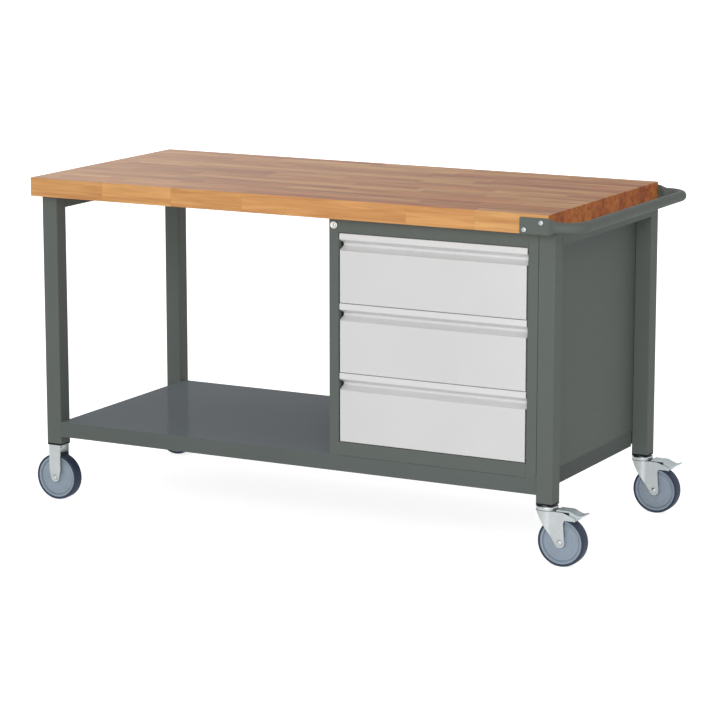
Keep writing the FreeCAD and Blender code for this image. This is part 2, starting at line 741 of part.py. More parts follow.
def fork_plan(x, y, head, half, low, high):
    """Upright body seen from above as a round head with two straight sides running back from it."""
    body = rod(head, Vec(x, y, low), Z_AXIS, high - low)
    return body.fuse(block(x, x + EAR_REACH, y - half, y + half, low, high))


def swivel_fork(x, y):
    """Turning half of a swivel caster: a pressed shell with a round head, cheeks and pedal ears."""
    low = crown_z - FORK_SHEET
    bottom = wheel_radius - FORK_TIP / 2
    shell = fork_plan(x, y, FORK_HEAD, fork_outer, bottom, crown_z)
    shell = shell.cut(fork_plan(x, y, FORK_HEAD - 2 * FORK_SHEET, fork_inner, bottom, crown_z))
    tip = (TRAIL, wheel_radius)
    lead = (-FORK_LEAD, low)
    waist = (TRAIL + CHEEK_REAR, crown_z - CHEEK_WAIST_DROP)
    ear_low = crown_z - EAR_LOW_DROP
    outline = [
        (-FORK_HEAD / 2, crown_z),
        (EAR_SLOPE_START, crown_z),
        (EAR_REACH, crown_z - EAR_END_DROP),
        (EAR_REACH, ear_low),
        (TRAIL + CHEEK_REAR + EAR_CORNER, ear_low),
        waist,
        tangent(waist, tip, FORK_TIP / 2, -1),
        tangent(lead, tip, FORK_TIP / 2, 1),
        lead,
        (-FORK_HEAD / 2, low),
    ]
    reach = FORK_HEAD / 2
    side_view = prism([(x + a, b) for a, b in outline], "y", y - reach, y + reach)
    axle_at = Vec(x + TRAIL, y - reach, wheel_radius)
    side_view = side_view.fuse(rod(FORK_TIP, axle_at, Y_AXIS, 2 * reach))
    crown = fork_plan(x, y, FORK_HEAD, fork_outer, low, crown_z)
    spare = block(x + CROWN_REACH, x + EAR_REACH, y - reach, y + reach, low, crown_z)
    fork = shell.common(side_view).fuse(crown.cut(spare))
    fork = fork.cut(rod(AXLE + 2 * RUNNING_CLEARANCE, axle_at, Y_AXIS, 2 * reach))
    pivot = Vec(x + PEDAL_PIVOT_REACH, y - reach, pedal_z)
    fork = fork.cut(rod(PEDAL_PIN + 2 * RUNNING_CLEARANCE, pivot, Y_AXIS, 2 * reach))
    bore = rod(BOLT + 2 * RUNNING_CLEARANCE, Vec(x, y, low), Z_AXIS, FORK_SHEET)
    return fork.cut(bore).removeSplitter()


def brake_pedal(x, y):
    """Foot lever on a pin between the fork's ears: an arm towards the head, a dip and a raised toe."""
    half = fork_inner - PEDAL_SIDE_GAP
    pivot_x = x + PEDAL_PIVOT_REACH
    profile = [
        (-PEDAL_ARM, PEDAL_ARM_TOP - PEDAL_SHEET),
        (-PEDAL_ARM, PEDAL_ARM_TOP),
        (-PEDAL_SHOULDER, PEDAL_ARM_TOP),
        (PEDAL_SHOULDER, PEDAL_DIP + PEDAL_SHEET),
        (PEDAL_DIP_REACH, PEDAL_DIP),
        (PEDAL_TOE, PEDAL_TOE_TOP),
        (PEDAL_TOE, PEDAL_TOE_TOP - PEDAL_SHEET),
        (PEDAL_DIP_REACH, PEDAL_DIP - PEDAL_SHEET),
        (PEDAL_SHOULDER, -PEDAL_UNDER),
        (-PEDAL_SHOULDER, -PEDAL_UNDER / 4),
        (-PEDAL_SHOULDER, PEDAL_ARM_TOP - PEDAL_SHEET),
    ]
    outline = [(pivot_x + along, pedal_z + up) for along, up in profile]
    lever = prism(outline, "y", y - half, y + half)
    pin = rod(PEDAL_PIN, Vec(pivot_x, y - fork_outer, pedal_z), Y_AXIS, 2 * fork_outer)
    return lever.fuse(pin).removeSplitter()


def caster_bolt(x, y, seat_z):
    """Bolt up through a caster's crown into the leg's plug."""
    shank = rod(BOLT, Vec(x, y, seat_z), Z_AXIS, z_leg + BOLT_ENTRY - seat_z)
    head = prism(hexagon(BOLT_HEAD, x, y), "z", seat_z - BOLT_HEAD_DEPTH, seat_z)
    return shank.fuse(head).removeSplitter()


# Fastener groups

def handle_screws():
    size = (HANDLE_SCREW_LENGTH, HANDLE_SCREW, HANDLE_SCREW_HEAD, HANDLE_SCREW_HEAD_DEPTH)
    return Part.makeCompound([screw(point, along, *size) for point, along in handle_screw_points()])


def worktop_screws():
    length = RAIL_HEIGHT + WOOD_SCREW_BITE
    size = (length, WOOD_SCREW, WOOD_SCREW_HEAD, WOOD_SCREW_HEAD_DEPTH)
    return Part.makeCompound([screw(point, Z_AXIS, *size) for point in rail_screw_points()])


def cabinet_screws():
    upper = (CABINET_SHEET + WOOD_SCREW_BITE, WOOD_SCREW, WOOD_SCREW_HEAD, WOOD_SCREW_HEAD_DEPTH)
    lower = (SHEET_BOLT_LENGTH, WOOD_SCREW, WOOD_SCREW_HEAD, WOOD_SCREW_HEAD_DEPTH)
    screws = []
    for x, y in cabinet_screw_points():
        screws.append(screw(Vec(x, y, z_under - CABINET_SHEET), Z_AXIS, *upper))
        screws.append(screw(Vec(x, y, SHELF_TOP + CABINET_SHEET), -Z_AXIS, *lower))
    return Part.makeCompound(screws)


def build():
    """Every piece of the bench by its name."""
    nodes = {
        "worktop": worktop(),
        "shelf_tray": shelf_tray(),
        "cabinet_side_left": cabinet_side_left(),
        "cabinet_side_right": cabinet_side_right(),
        "cabinet_back": cabinet_back(),
        "cabinet_top_rail": front_rail(opening_top, z_under),
        "cabinet_bottom_rail": front_rail(SHELF_TOP, opening_bottom),
        "slide_posts": slide_posts(),
        "cabinet_slides": cabinet_slides(),
        "lock_housing": lock_housing(),
        "lock_plug": lock_plug(),
        "lock_bar": lock_bar(),
        "push_handle": push_handle(),
        "handle_screws": handle_screws(),
        "worktop_screws": worktop_screws(),
        "cabinet_screws": cabinet_screws(),
    }
    for name in DRAWER_NAMES:
        nodes["drawer_front_" + name] = drawer_front(name)
        nodes["drawer_grip_" + name] = drawer_grip(name)
        nodes["drawer_box_" + name] = drawer_box(name)
        nodes["drawer_slides_" + name] = drawer_slides(name)
        nodes["middle_slides_" + name] = middle_slides(name)
    plugs = []
    bolts = []
    for side, y in leg_y.items():
        for end, x in leg_x.items():
            nodes["leg_" + side + "_" + end] = leg(x, y)
            plugs.append(leg_plug(x, y))
        left, right = leg_x["left"], leg_x["right"]
        nodes["fixed_fork_" + side] = fixed_fork(left, y)
        nodes["fixed_axle_" + side] = wheel_axle(left, y)
        nodes["fixed_hub_" + side] = wheel_hub(left, y)
        nodes["fixed_tyre_" + side] = wheel_tyre(left, y)
        nodes["swivel_race_" + side] = swivel_race(right, y)
        nodes["swivel_fork_" + side] = swivel_fork(right, y)
        nodes["swivel_axle_" + side] = wheel_axle(right + TRAIL, y)
        nodes["swivel_hub_" + side] = wheel_hub(right + TRAIL, y)
        nodes["swivel_tyre_" + side] = wheel_tyre(right + TRAIL, y)
        nodes["brake_pedal_" + side] = brake_pedal(right, y)
        bolts.append(caster_bolt(left, y, CASTER_HEIGHT - FORK_SHEET))
        bolts.append(caster_bolt(right, y, crown_z - FORK_SHEET - RACE_GAP))
    for end, x in leg_x.items():
        nodes["cross_rail_" + end] = cross_rail(x)
    nodes["leg_plugs"] = Part.makeCompound(plugs)
    nodes["caster_bolts"] = Part.makeCompound(bolts)
    return nodes


def main():
    os.makedirs("parts", exist_ok=True)
    for name, shape in build().items():
        shape.exportStep(os.path.join("parts", name + ".step"))
        print(name, len(shape.Solids), "solids", round(shape.Volume / 1000, 1), "cm3", shape.isValid())


if __name__ == "__main__":
    main()
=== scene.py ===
# %% [markdown]
# # A mobile workbench
# The bench has a steel frame on four casters, a thick beech worktop, a lower shelf, a cabinet with
# three drawers and a push handle on its right end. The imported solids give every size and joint.
# This lesson gives each piece its eased edges and its finish. It measures the solids wherever it can,
# so that most changes of size there carry over by themselves.

# %% Load the frame
import json
import math

import bmesh
import bpy
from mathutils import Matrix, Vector


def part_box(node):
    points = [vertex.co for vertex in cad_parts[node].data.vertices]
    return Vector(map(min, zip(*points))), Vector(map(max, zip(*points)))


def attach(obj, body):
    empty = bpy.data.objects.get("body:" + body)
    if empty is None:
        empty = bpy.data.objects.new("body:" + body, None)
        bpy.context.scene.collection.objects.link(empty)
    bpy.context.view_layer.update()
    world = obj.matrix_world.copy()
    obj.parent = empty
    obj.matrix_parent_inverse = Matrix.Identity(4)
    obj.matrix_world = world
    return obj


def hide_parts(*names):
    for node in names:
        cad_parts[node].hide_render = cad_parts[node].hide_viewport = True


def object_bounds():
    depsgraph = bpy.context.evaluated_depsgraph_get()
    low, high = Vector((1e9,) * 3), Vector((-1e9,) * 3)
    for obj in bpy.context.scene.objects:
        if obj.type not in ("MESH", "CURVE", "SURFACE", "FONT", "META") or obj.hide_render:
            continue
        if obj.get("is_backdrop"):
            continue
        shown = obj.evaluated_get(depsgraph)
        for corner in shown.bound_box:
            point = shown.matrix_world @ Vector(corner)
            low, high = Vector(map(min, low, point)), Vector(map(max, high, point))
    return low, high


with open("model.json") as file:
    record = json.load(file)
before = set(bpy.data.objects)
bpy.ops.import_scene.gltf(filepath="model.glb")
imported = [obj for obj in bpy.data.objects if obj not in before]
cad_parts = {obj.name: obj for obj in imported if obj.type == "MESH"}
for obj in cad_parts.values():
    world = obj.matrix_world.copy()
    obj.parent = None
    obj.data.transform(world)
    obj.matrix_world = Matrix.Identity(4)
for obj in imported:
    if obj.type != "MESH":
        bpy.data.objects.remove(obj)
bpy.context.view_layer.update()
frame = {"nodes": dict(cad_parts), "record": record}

# %% [markdown]
# ## Camera
# The bench is seen past its front right corner through a long lens, from well away and at about the
# eye height of someone standing. A camera can be aimed with a constraint, but a quaternion made from
# the view direction needs nothing else in the scene and always gives the same picture.

# %% Camera
VIEW_AZIMUTH = math.radians(27.881)
VIEW_ELEVATION = math.radians(11.145)
VIEW_DISTANCE = 7.5812
VIEW_AIM = Vector((0.0171, 0.0, 0.4001))
LENS_MM = 142.79
SENSOR_MM = 36.0


def direction(azimuth, elevation):
    """Unit vector towards a place round the bench: azimuth from its front to its right, elevation up."""
    return Vector((
        math.sin(azimuth) * math.cos(elevation),
        -math.cos(azimuth) * math.cos(elevation),
        math.sin(elevation),
    ))


lens = bpy.data.cameras.new("bench_camera")
lens.lens = LENS_MM
lens.sensor_width = SENSOR_MM
camera = bpy.data.objects.new("bench_camera", lens)
bpy.context.scene.collection.objects.link(camera)
backwards = direction(VIEW_AZIMUTH, VIEW_ELEVATION)
camera.location = VIEW_AIM + backwards * VIEW_DISTANCE
camera.rotation_mode = "QUATERNION"
camera.rotation_quaternion = backwards.to_track_quat("Z", "Y")
bpy.context.scene.camera = camera
bpy.context.scene.view_settings.view_transform = "Standard"
print("camera at", [round(place, 3) for place in camera.location])

# %% [markdown]
# ## Node helpers
# Light and finishes are graphs of small nodes. Most of these functions add one node and hand back its
# output, so that the later cells read almost like sums.

# %% Node helpers
def srgb(red, green, blue):
    """Linear colour of three screen values from 0 to 255."""
    parts = []
    for value in (red, green, blue):
        share = value / 255.0
        parts.append(share / 12.92 if share <= 0.04045 else ((share + 0.055) / 1.055) ** 2.4)
    return (*parts, 1.0)


def put(tree, value, socket):
    """Link an output to a socket, or set a plain value on it."""
    if isinstance(value, bpy.types.NodeSocket):
        tree.links.new(value, socket)
    else:
        socket.default_value = value


def new_node(tree, kind, inputs, **settings):
    """Node with its settings made and its inputs, given by name or number, linked or set."""
    node = tree.nodes.new(kind)
    for label, value in settings.items():
        setattr(node, label, value)
    for label, value in inputs.items():
        put(tree, value, node.inputs[label])
    return node


def math_node(tree, operation, first, second=0.0):
    """Output of one sum, product or other operation on sockets or plain values."""
    return new_node(tree, "ShaderNodeMath", {0: first, 1: second}, operation=operation).outputs[0]


def noise(tree, vector, scale, detail=2.0, roughness=0.5, distortion=0.0):
    """Noise from about 0 to 1; scale counts its waves in a metre."""
    inputs = {"Vector": vector, "Scale": scale, "Detail": detail}
    inputs.update({"Roughness": roughness, "Distortion": distortion})
    return new_node(tree, "ShaderNodeTexNoise", inputs).outputs["Fac"]


def spread(tree, value, low, high, start=0.0, end=1.0):
    """Map a value from start..end to low..high."""
    inputs = {"Value": value, "From Min": start, "From Max": end, "To Min": low, "To Max": high}
    return new_node(tree, "ShaderNodeMapRange", inputs).outputs["Result"]


def blend_colour(tree, kind, amount, first, second):
    """Two colours mixed or multiplied by an amount."""
    inputs = {0: amount, 6: first, 7: second}
    return new_node(tree, "ShaderNodeMix", inputs, data_type="RGBA", blend_type=kind).outputs[2]


def stretched(tree, vector, scale):
    """Coordinates scaled by a different amount along each axis."""
    return new_node(tree, "ShaderNodeMapping", {"Vector": vector, "Scale": scale}).outputs["Vector"]


def axes_of(tree, vector):
    """The X, Y and Z outputs of a vector."""
    return new_node(tree, "ShaderNodeSeparateXYZ", {0: vector}).outputs


print("node helpers ready")

# %% [markdown]
# ## Studio
# Soft, even light shows paint and wood as they are. The key is a wide lamp beside the camera, a little
# above it: front faces come out brightest, the cabinet's side and the flat tops a step darker, and the
# shadows fall behind the bench. A weaker lamp behind lights the far sides, and it stays out of
# reflections so that it can't glare on the worktop. The world is white to the camera and to
# reflections but dimmer as a lamp, which keeps colours at the level they are written at. The floor
# glows a little for the camera and in reflections, so that it reads as white and still shows the
# bench's shadow.

# %% Studio
WORLD_LIGHT = 0.52
FLOOR_GLOW = 0.74
FLOOR_TONE = (0.88, 0.88, 0.88, 1.0)
FLOOR_REACH = 60.0
LAMP_AIM = Vector((0.0, 0.0, 0.45))
LAMP_DISTANCE = 9.0
LAMP_SIZE = 5.5

# Azimuth and elevation of each lamp in degrees, then its watts.
LAMPS = {
    "key_lamp": (20.0, 16.0, 400.0),
    "far_lamp": (200.0, 16.0, 160.0),
}


def seen_by_eye(tree):
    """Value that is one for camera, glossy and transmitted rays and zero for light that is cast."""
    path = tree.nodes.new("ShaderNodeLightPath").outputs
    mask = path["Is Camera Ray"]
    for ray in ("Is Glossy Ray", "Is Transmission Ray"):
        mask = math_node(tree, "MAXIMUM", mask, path[ray])
    return mask


world = bpy.data.worlds.new("white_studio")
world.use_nodes = True
sky = world.node_tree
background = sky.nodes["Background"]
background.inputs["Color"].default_value = (1.0, 1.0, 1.0, 1.0)
put(sky, spread(sky, seen_by_eye(sky), WORLD_LIGHT, 1.0), background.inputs["Strength"])
bpy.context.scene.world = world

for name, (azimuth, elevation, power) in LAMPS.items():
    lamp = bpy.data.lights.new(name, "AREA")
    lamp.size = LAMP_SIZE
    lamp.energy = power
    holder = bpy.data.objects.new(name, lamp)
    outwards = direction(math.radians(azimuth), math.radians(elevation))
    holder.location = LAMP_AIM + outwards * LAMP_DISTANCE
    holder.rotation_mode = "QUATERNION"
    holder.rotation_quaternion = outwards.to_track_quat("Z", "Y")
    holder.visible_camera = False
    holder.visible_glossy = name == "key_lamp"
    bpy.context.scene.collection.objects.link(holder)

floor_mesh = bpy.data.meshes.new("studio_floor")
floor_corners = [(FLOOR_REACH * x, FLOOR_REACH * y, 0.0) for x, y in ((-1, -1), (1, -1), (1, 1), (-1, 1))]
floor_mesh.from_pydata(floor_corners, [], [(0, 1, 2, 3)])
floor_paint = bpy.data.materials.new("studio_floor")
floor_paint.use_nodes = True
floor_tree = floor_paint.node_tree
floor_tree.nodes.remove(floor_tree.nodes["Principled BSDF"])
matt = new_node(floor_tree, "ShaderNodeBsdfDiffuse", {"Color": FLOOR_TONE})
level = math_node(floor_tree, "MULTIPLY", seen_by_eye(floor_tree), FLOOR_GLOW)
glow = new_node(floor_tree, "ShaderNodeEmission", {"Strength": level})
both = new_node(floor_tree, "ShaderNodeAddShader", {0: matt.outputs[0], 1: glow.outputs[0]})
put(floor_tree, both.outputs[0], floor_tree.nodes["Material Output"].inputs["Surface"])
floor_mesh.materials.append(floor_paint)
floor = bpy.data.objects.new("studio_floor", floor_mesh)
bpy.context.scene.collection.objects.link(floor)
floor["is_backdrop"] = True
print("lamps", sorted(LAMPS))

# %% [markdown]
# ## Shared surface effects
# Several finishes share an effect: paint has the fine orange peel of a baked powder coat, steel a
# crystal bloom from zinc plating, and moulded parts a dull grain. Each effect is one node group with
# its own inputs, so that a material that uses it has only its colour, dullness and the like to set.
# The groups read Object coordinates, because the pieces sit at the origin and the pattern then never
# slides.

# %% Group helper
SURFACE = {"Color": "Color", "Roughness": "Float", "Height": "Float"}


def new_group(name, inputs, outputs):
    """Shader group with its input and output sockets: name to (kind, default) in, name to kind out."""
    group = bpy.data.node_groups.new(name, "ShaderNodeTree")
    for label, (kind, value) in inputs.items():
        socket = group.interface.new_socket(label, in_out="INPUT", socket_type="NodeSocket" + kind)
        socket.default_value = value
    for label, kind in outputs.items():
        group.interface.new_socket(label, in_out="OUTPUT", socket_type="NodeSocket" + kind)
    given = group.nodes.new("NodeGroupInput").outputs
    result = group.nodes.new("NodeGroupOutput").inputs
    return group, given, result


print("group helper ready")

# %% [markdown]
# ## Hairline marks
# Even a new bench has a few hairline marks from handling. Real ones are thin, curved and gathered in
# patches. Noise gives them cheaply: the places where one noise passes through its middle value are
# thin winding lines, and a second, broader noise lets them show only here and there.

# %% Hairline group
MARK_STRETCH = (1.0, 0.6, 1.7)
MARK_WIDTH = 0.0035
MARK_PATCHES = 5.0

hairline_group, given, result = new_group(
    "hairline_marks", {"Spacing": ("Float", 14.0)}, {"Mask": "Float"}
)
tree = hairline_group
coords = tree.nodes.new("ShaderNodeTexCoord").outputs["Object"]
winding = noise(tree, stretched(tree, coords, MARK_STRETCH), given["Spacing"], detail=3.0)
off_middle = math_node(tree, "ABSOLUTE", math_node(tree, "SUBTRACT", winding, 0.5))
thin = spread(tree, off_middle, 1.0, 0.0, 0.0, MARK_WIDTH)
patches = spread(tree, noise(tree, coords, MARK_PATCHES, detail=1.0), 0.0, 1.0, 0.55, 0.68)
put(tree, math_node(tree, "MULTIPLY", thin, patches), result["Mask"])
print("group", hairline_group.name)

# %% [markdown]
# ## Powder coat
# Powder paint melts and flows in the oven, which leaves a faint orange peel and very slow changes of
# tone. The peel is too fine to model, so it goes into the bump, and it also moves the roughness a
# little so that highlights break up as they do on real paint. Faces that look up can be mixed towards
# a pale blue, partly a film of dust and partly a painted reflection of the bright surroundings; the
# group finds them by asking which way the surface faces.

# %% Powder coat group
COAT_CLOUDS = 2.6
COAT_SPECKS = 1900.0
COAT_MARK_SPACING = 9.0
COAT_MARK_STRENGTH = 0.06
RUBBED_COAT = (0.75, 0.75, 0.75, 1.0)
# Pale blue for faces that look up: partly dust, partly a painted reflection of the bright surroundings.
DUST_AND_SHEEN_COLOUR = srgb(180, 196, 218)

coat_group, given, result = new_group(
    "powder_coat",
    {
        "Color": ("Color", (0.5, 0.5, 0.5, 1.0)),
        "Peel": ("Float", 420.0),
        "Dullness": ("Float", 0.42),
        "Dust": ("Float", 0.0),
    },
    SURFACE,
)
tree = coat_group
where = tree.nodes.new("ShaderNodeTexCoord").outputs
coords = where["Object"]
peel = noise(tree, coords, given["Peel"])
slow = spread(tree, noise(tree, coords, COAT_CLOUDS, detail=3.0), 0.965, 1.035, 0.3, 0.7)
speck = spread(tree, noise(tree, coords, COAT_SPECKS, detail=1.0), 0.96, 1.04, 0.35, 0.65)
shade = blend_colour(tree, "MULTIPLY", 1.0, given["Color"], math_node(tree, "MULTIPLY", slow, speck))
marks = tree.nodes.new("ShaderNodeGroup")
marks.node_tree = hairline_group
marks.inputs["Spacing"].default_value = COAT_MARK_SPACING
faint = math_node(tree, "MULTIPLY", marks.outputs["Mask"], COAT_MARK_STRENGTH)
pale = blend_colour(tree, "MIX", 0.5, given["Color"], RUBBED_COAT)
shade = blend_colour(tree, "MIX", faint, shade, pale)
# Faces that look up are mixed towards the pale blue: partly dust, partly painted reflection.
dust_and_sheen = spread(tree, axes_of(tree, where["Normal"])["Z"], 0.0, given["Dust"], 0.6, 0.95)
ripple = spread(tree, peel, -0.05, 0.05, 0.25, 0.75)
put(tree, blend_colour(tree, "MIX", dust_and_sheen, shade, DUST_AND_SHEEN_COLOUR), result["Color"])
put(tree, math_node(tree, "ADD", given["Dullness"], ripple), result["Roughness"])
put(tree, peel, result["Height"])
print("group", coat_group.name)

# %% [markdown]
# ## Plated steel
# Forks, races, screws and slides are zinc plated. Zinc grows in small crystals, so neighbouring spots
# reflect a little differently. A Voronoi pattern gives each crystal its own brightness, and a fine
# noise dulls it, as the passivating bath does.

# %% Plated steel group
ZINC_CLOUDS = 38.0
ZINC_FOG = 120.0
ZINC_GRAIN = 900.0

zinc_group, given, result = new_group(
    "zinc_bloom",
    {
        "Color": ("Color", (0.6, 0.6, 0.6, 1.0)),
        "Crystals": ("Float", 420.0),
        "Dullness": ("Float", 0.34),
    },
    SURFACE,
)
tree = zinc_group
coords = tree.nodes.new("ShaderNodeTexCoord").outputs["Object"]
cells = new_node(tree, "ShaderNodeTexVoronoi", {"Vector": coords, "Scale": given["Crystals"]})
brightness = spread(tree, cells.outputs["Color"], 0.975, 1.025)
cloud = spread(tree, noise(tree, coords, ZINC_CLOUDS, detail=3.0), 0.96, 1.04, 0.3, 0.7)
shine = math_node(tree, "MULTIPLY", brightness, cloud)
fog = spread(tree, noise(tree, coords, ZINC_FOG, detail=3.0), -0.07, 0.09, 0.3, 0.7)
put(tree, blend_colour(tree, "MULTIPLY", 1.0, given["Color"], shine), result["Color"])
put(tree, math_node(tree, "ADD", given["Dullness"], fog), result["Roughness"])
put(tree, noise(tree, coords, ZINC_GRAIN), result["Height"])
print("group", zinc_group.name)

# %% [markdown]
# ## Moulded grain
# Tyres, wheel centres and tube plugs are moulded. The mould leaves a dull, even grain, and handling
# leaves slightly paler clouds. Two noises, one fine and one broad, are enough for both.

# %% Moulded grain group
HANDLING_CLOUDS = 30.0

mould_group, given, result = new_group(
    "moulded_grain",
    {
        "Color": ("Color", (0.1, 0.1, 0.1, 1.0)),
        "Grain": ("Float", 1400.0),
        "Dullness": ("Float", 0.5),
    },
    SURFACE,
)
tree = mould_group
coords = tree.nodes.new("ShaderNodeTexCoord").outputs["Object"]
grain = noise(tree, coords, given["Grain"])
cloud = spread(tree, noise(tree, coords, HANDLING_CLOUDS, detail=3.0), 0.94, 1.09, 0.3, 0.7)
haze = spread(tree, grain, -0.06, 0.06, 0.25, 0.75)
put(tree, blend_colour(tree, "MULTIPLY", 1.0, given["Color"], cloud), result["Color"])
put(tree, math_node(tree, "ADD", given["Dullness"], haze), result["Roughness"])
put(tree, grain, result["Height"])
print("group", mould_group.name)

# %% [markdown]
# ## Finishes
# With the groups ready, a finish is one shader, one group and a bump. Plain numbers such as Metallic
# are set on the shader itself, because only values that change over the surface come from the group.

# %% Finishes
RELIEF_DEPTH = 0.0002


def finish(name, group, bump, metallic=0.0, specular=0.5, **settings):
    """Material whose colour, roughness and bump come from one of the shared groups."""
    material = bpy.data.materials.new(name)
    material.use_nodes = True
    tree = material.node_tree
    shader = tree.nodes["Principled BSDF"]
    shader.inputs["Metallic"].default_value = metallic
    shader.inputs["Specular IOR Level"].default_value = specular
    effect = tree.nodes.new("ShaderNodeGroup")
    effect.node_tree = group
    for label, value in settings.items():
        effect.inputs[label].default_value = value
    put(tree, effect.outputs["Color"], shader.inputs["Base Color"])
    put(tree, effect.outputs["Roughness"], shader.inputs["Roughness"])
    inputs = {"Strength": bump, "Distance": RELIEF_DEPTH, "Height": effect.outputs["Height"]}
    relief = new_node(tree, "ShaderNodeBump", inputs)
    put(tree, relief.outputs["Normal"], shader.inputs["Normal"])
    return material


steel_green = srgb(95, 101, 97)
frame_coat = finish("frame_coat", coat_group, bump=0.10, specular=0.15, Color=steel_green, Dullness=0.60)
cabinet_coat = finish(
    "cabinet_coat", coat_group, bump=0.10, specular=0.15, Color=steel_green, Dullness=0.58
)
# The shelf's upward faces are mixed towards pale blue: partly dust, partly a painted reflection in place
# of gloss.
shelf_coat = finish(
    "shelf_coat", coat_group, bump=0.02, specular=0.0015, Color=srgb(98, 104, 101), Dullness=0.12, Dust=0.2
)
drawer_coat = finish("drawer_coat", coat_group, bump=0.08, Color=srgb(211, 211, 211), Dullness=0.42)
# This coat is painted a touch lighter than the drawer front's, to lift the shade in the grip's channel.
lightened_grip_coat = finish("lightened_grip_coat", coat_group, bump=0.08, Color=srgb(217, 217, 217), Dullness=0.36)
box_coat = finish("drawer_box_coat", coat_group, bump=0.08, Color=srgb(150, 153, 155), Dullness=0.5)
plated = finish("plated_steel", zinc_group, bump=0.12, metallic=1.0, Color=srgb(176, 181, 182))
cloudy_plate = finish(
    "cloudy_plate", zinc_group, bump=0.12, metallic=0.45, Color=srgb(186, 196, 200), Dullness=0.5
)
slide_plate = finish(
    "slide_steel", zinc_group, bump=0.10, metallic=1.0, Color=srgb(196, 198, 200), Dullness=0.42
)
chrome = finish(
    "lock_chrome",
    zinc_group,
    bump=0.04,
    metallic=1.0,
    Color=srgb(205, 205, 199),
    Dullness=0.3,
    Crystals=1500.0,
)
wheel_grey = finish("wheel_centre", mould_group, bump=0.10, Color=srgb(139, 152, 165), Dullness=0.42)
rubber = finish(
    "tyre_rubber", mould_group, bump=0.25, specular=0.3, Color=srgb(46, 58, 76), Dullness=0.62
)
black_cap = finish(
    "tube_plug", mould_group, bump=0.15, specular=0.15, Color=srgb(20, 22, 27), Dullness=0.6
)
print("finishes", len(bpy.data.materials))

# %% [markdown]
# ## Glued staves
# The worktop is a slab of beech staves: rows about 44 mm wide, each row made of boards of random
# length glued end to end. One closed slab carries the pattern. The row number comes from the depth,
# the board number from the length with a different start in every row, and both together give each
# board its own random numbers.

# %% Rows and boards
SLAB_FRONT = -0.35
ROW_NUDGE = 0.001
ROW_SEED = 11.3
ROW_OFFSETS = 9.0
LENGTH_WAVE = 2.3
LENGTH_CHANGE = 0.3
ROW_STRIDE = 37.7
BOARD_STRIDE = 5.13
RED_SEED = 8.9

stave_group, given, result = new_group(
    "glued_staves",
    {
        "Pale": ("Color", (0.6, 0.4, 0.2, 1.0)),
        "Deep": ("Color", (0.3, 0.2, 0.1, 1.0)),
        "Heart": ("Color", (0.9, 0.8, 0.7, 1.0)),
        "Row Width": ("Float", 0.04375),
        "Board Length": ("Float", 0.30),
    },
    SURFACE,
)
tree = stave_group
where = tree.nodes.new("ShaderNodeTexCoord").outputs
coords = where["Object"]
along, across = axes_of(tree, coords)[:2]


def chance(tree, value):
    """Random number from 0 to 1 that is always the same for the same value."""
    return new_node(tree, "ShaderNodeTexWhiteNoise", {"W": value}, noise_dimensions="1D").outputs["Value"]


from_front = math_node(tree, "SUBTRACT", across, SLAB_FRONT)
row_place = math_node(tree, "DIVIDE", from_front, given["Row Width"])
row = math_node(tree, "FLOOR", math_node(tree, "ADD", row_place, ROW_NUDGE))
row_chance = chance(tree, math_node(tree, "ADD", row, ROW_SEED))
row_start = math_node(tree, "MULTIPLY", row_chance, ROW_OFFSETS)
even_place = math_node(tree, "DIVIDE", along, given["Board Length"])
even_place = math_node(tree, "ADD", even_place, row_start)
wobble = math_node(tree, "SINE", math_node(tree, "MULTIPLY", even_place, LENGTH_WAVE))
board_place = math_node(tree, "ADD", even_place, math_node(tree, "MULTIPLY", wobble, LENGTH_CHANGE))
board = math_node(tree, "FLOOR", board_place)
row_part = math_node(tree, "MULTIPLY", row, ROW_STRIDE)
board_part = math_node(tree, "MULTIPLY", board, BOARD_STRIDE)
board_id = math_node(tree, "ADD", row_part, board_part)
board_tone = chance(tree, board_id)
board_red = chance(tree, math_node(tree, "ADD", board_id, RED_SEED))
print("group", stave_group.name, "gets rows and boards")

# %% [markdown]
# ## Grain of the staves
# Each board takes its own piece of a solid grain texture that is stretched along the boards, so the
# short ends show end grain by themselves. Which way a face looks changes its colour a little: cut
# ends drink more oil and come out darker and redder, and the long front edge is picked from calm
# boards. The top is mixed towards a grey, and towards a paler tone at its left end. That is a painted
# sheen: the reflection of the white surroundings at a low angle, painted into the colour.

# %% Grain and tone
TONE_JUMP = 31.0
RED_JUMP = 17.0
FIBRE_STRETCH = (5.0, 190.0, 150.0)
FIGURE_STRETCH = (4.0, 52.0, 60.0)
FLECK_STRETCH = (120.0, 1500.0, 1200.0)
# The next two numbers span the painted sheen along the top, strongest at the first and gone at the second.
SHEEN_STRONGEST_X = -0.75
SHEEN_GONE_X = 0.65
MIDDLE_TONE = 0.42
END_PALE = srgb(222, 174, 126)
END_DEEP = srgb(200, 150, 106)
# Colours of the painted sheen on the top: a grey veil of reflected white, and a paler one towards the left
# end.
TOP_SHEEN_GREY = srgb(134, 122, 136)
TOP_SHEEN_PALE = srgb(246, 219, 206)

tone_shift = math_node(tree, "MULTIPLY", board_tone, TONE_JUMP)
red_shift = math_node(tree, "MULTIPLY", board_red, RED_JUMP)
shift = new_node(tree, "ShaderNodeCombineXYZ", {"X": tone_shift, "Y": red_shift})
moved = new_node(tree, "ShaderNodeVectorMath", {0: coords, 1: shift.outputs[0]}, operation="ADD")
own_coords = moved.outputs[0]
fibre = noise(tree, stretched(tree, own_coords, FIBRE_STRETCH), 1.0, detail=4.0, roughness=0.6)
figure = noise(tree, stretched(tree, own_coords, FIGURE_STRETCH), 1.0, distortion=0.7)
fleck = noise(tree, stretched(tree, own_coords, FLECK_STRETCH), 1.0, detail=1.0)

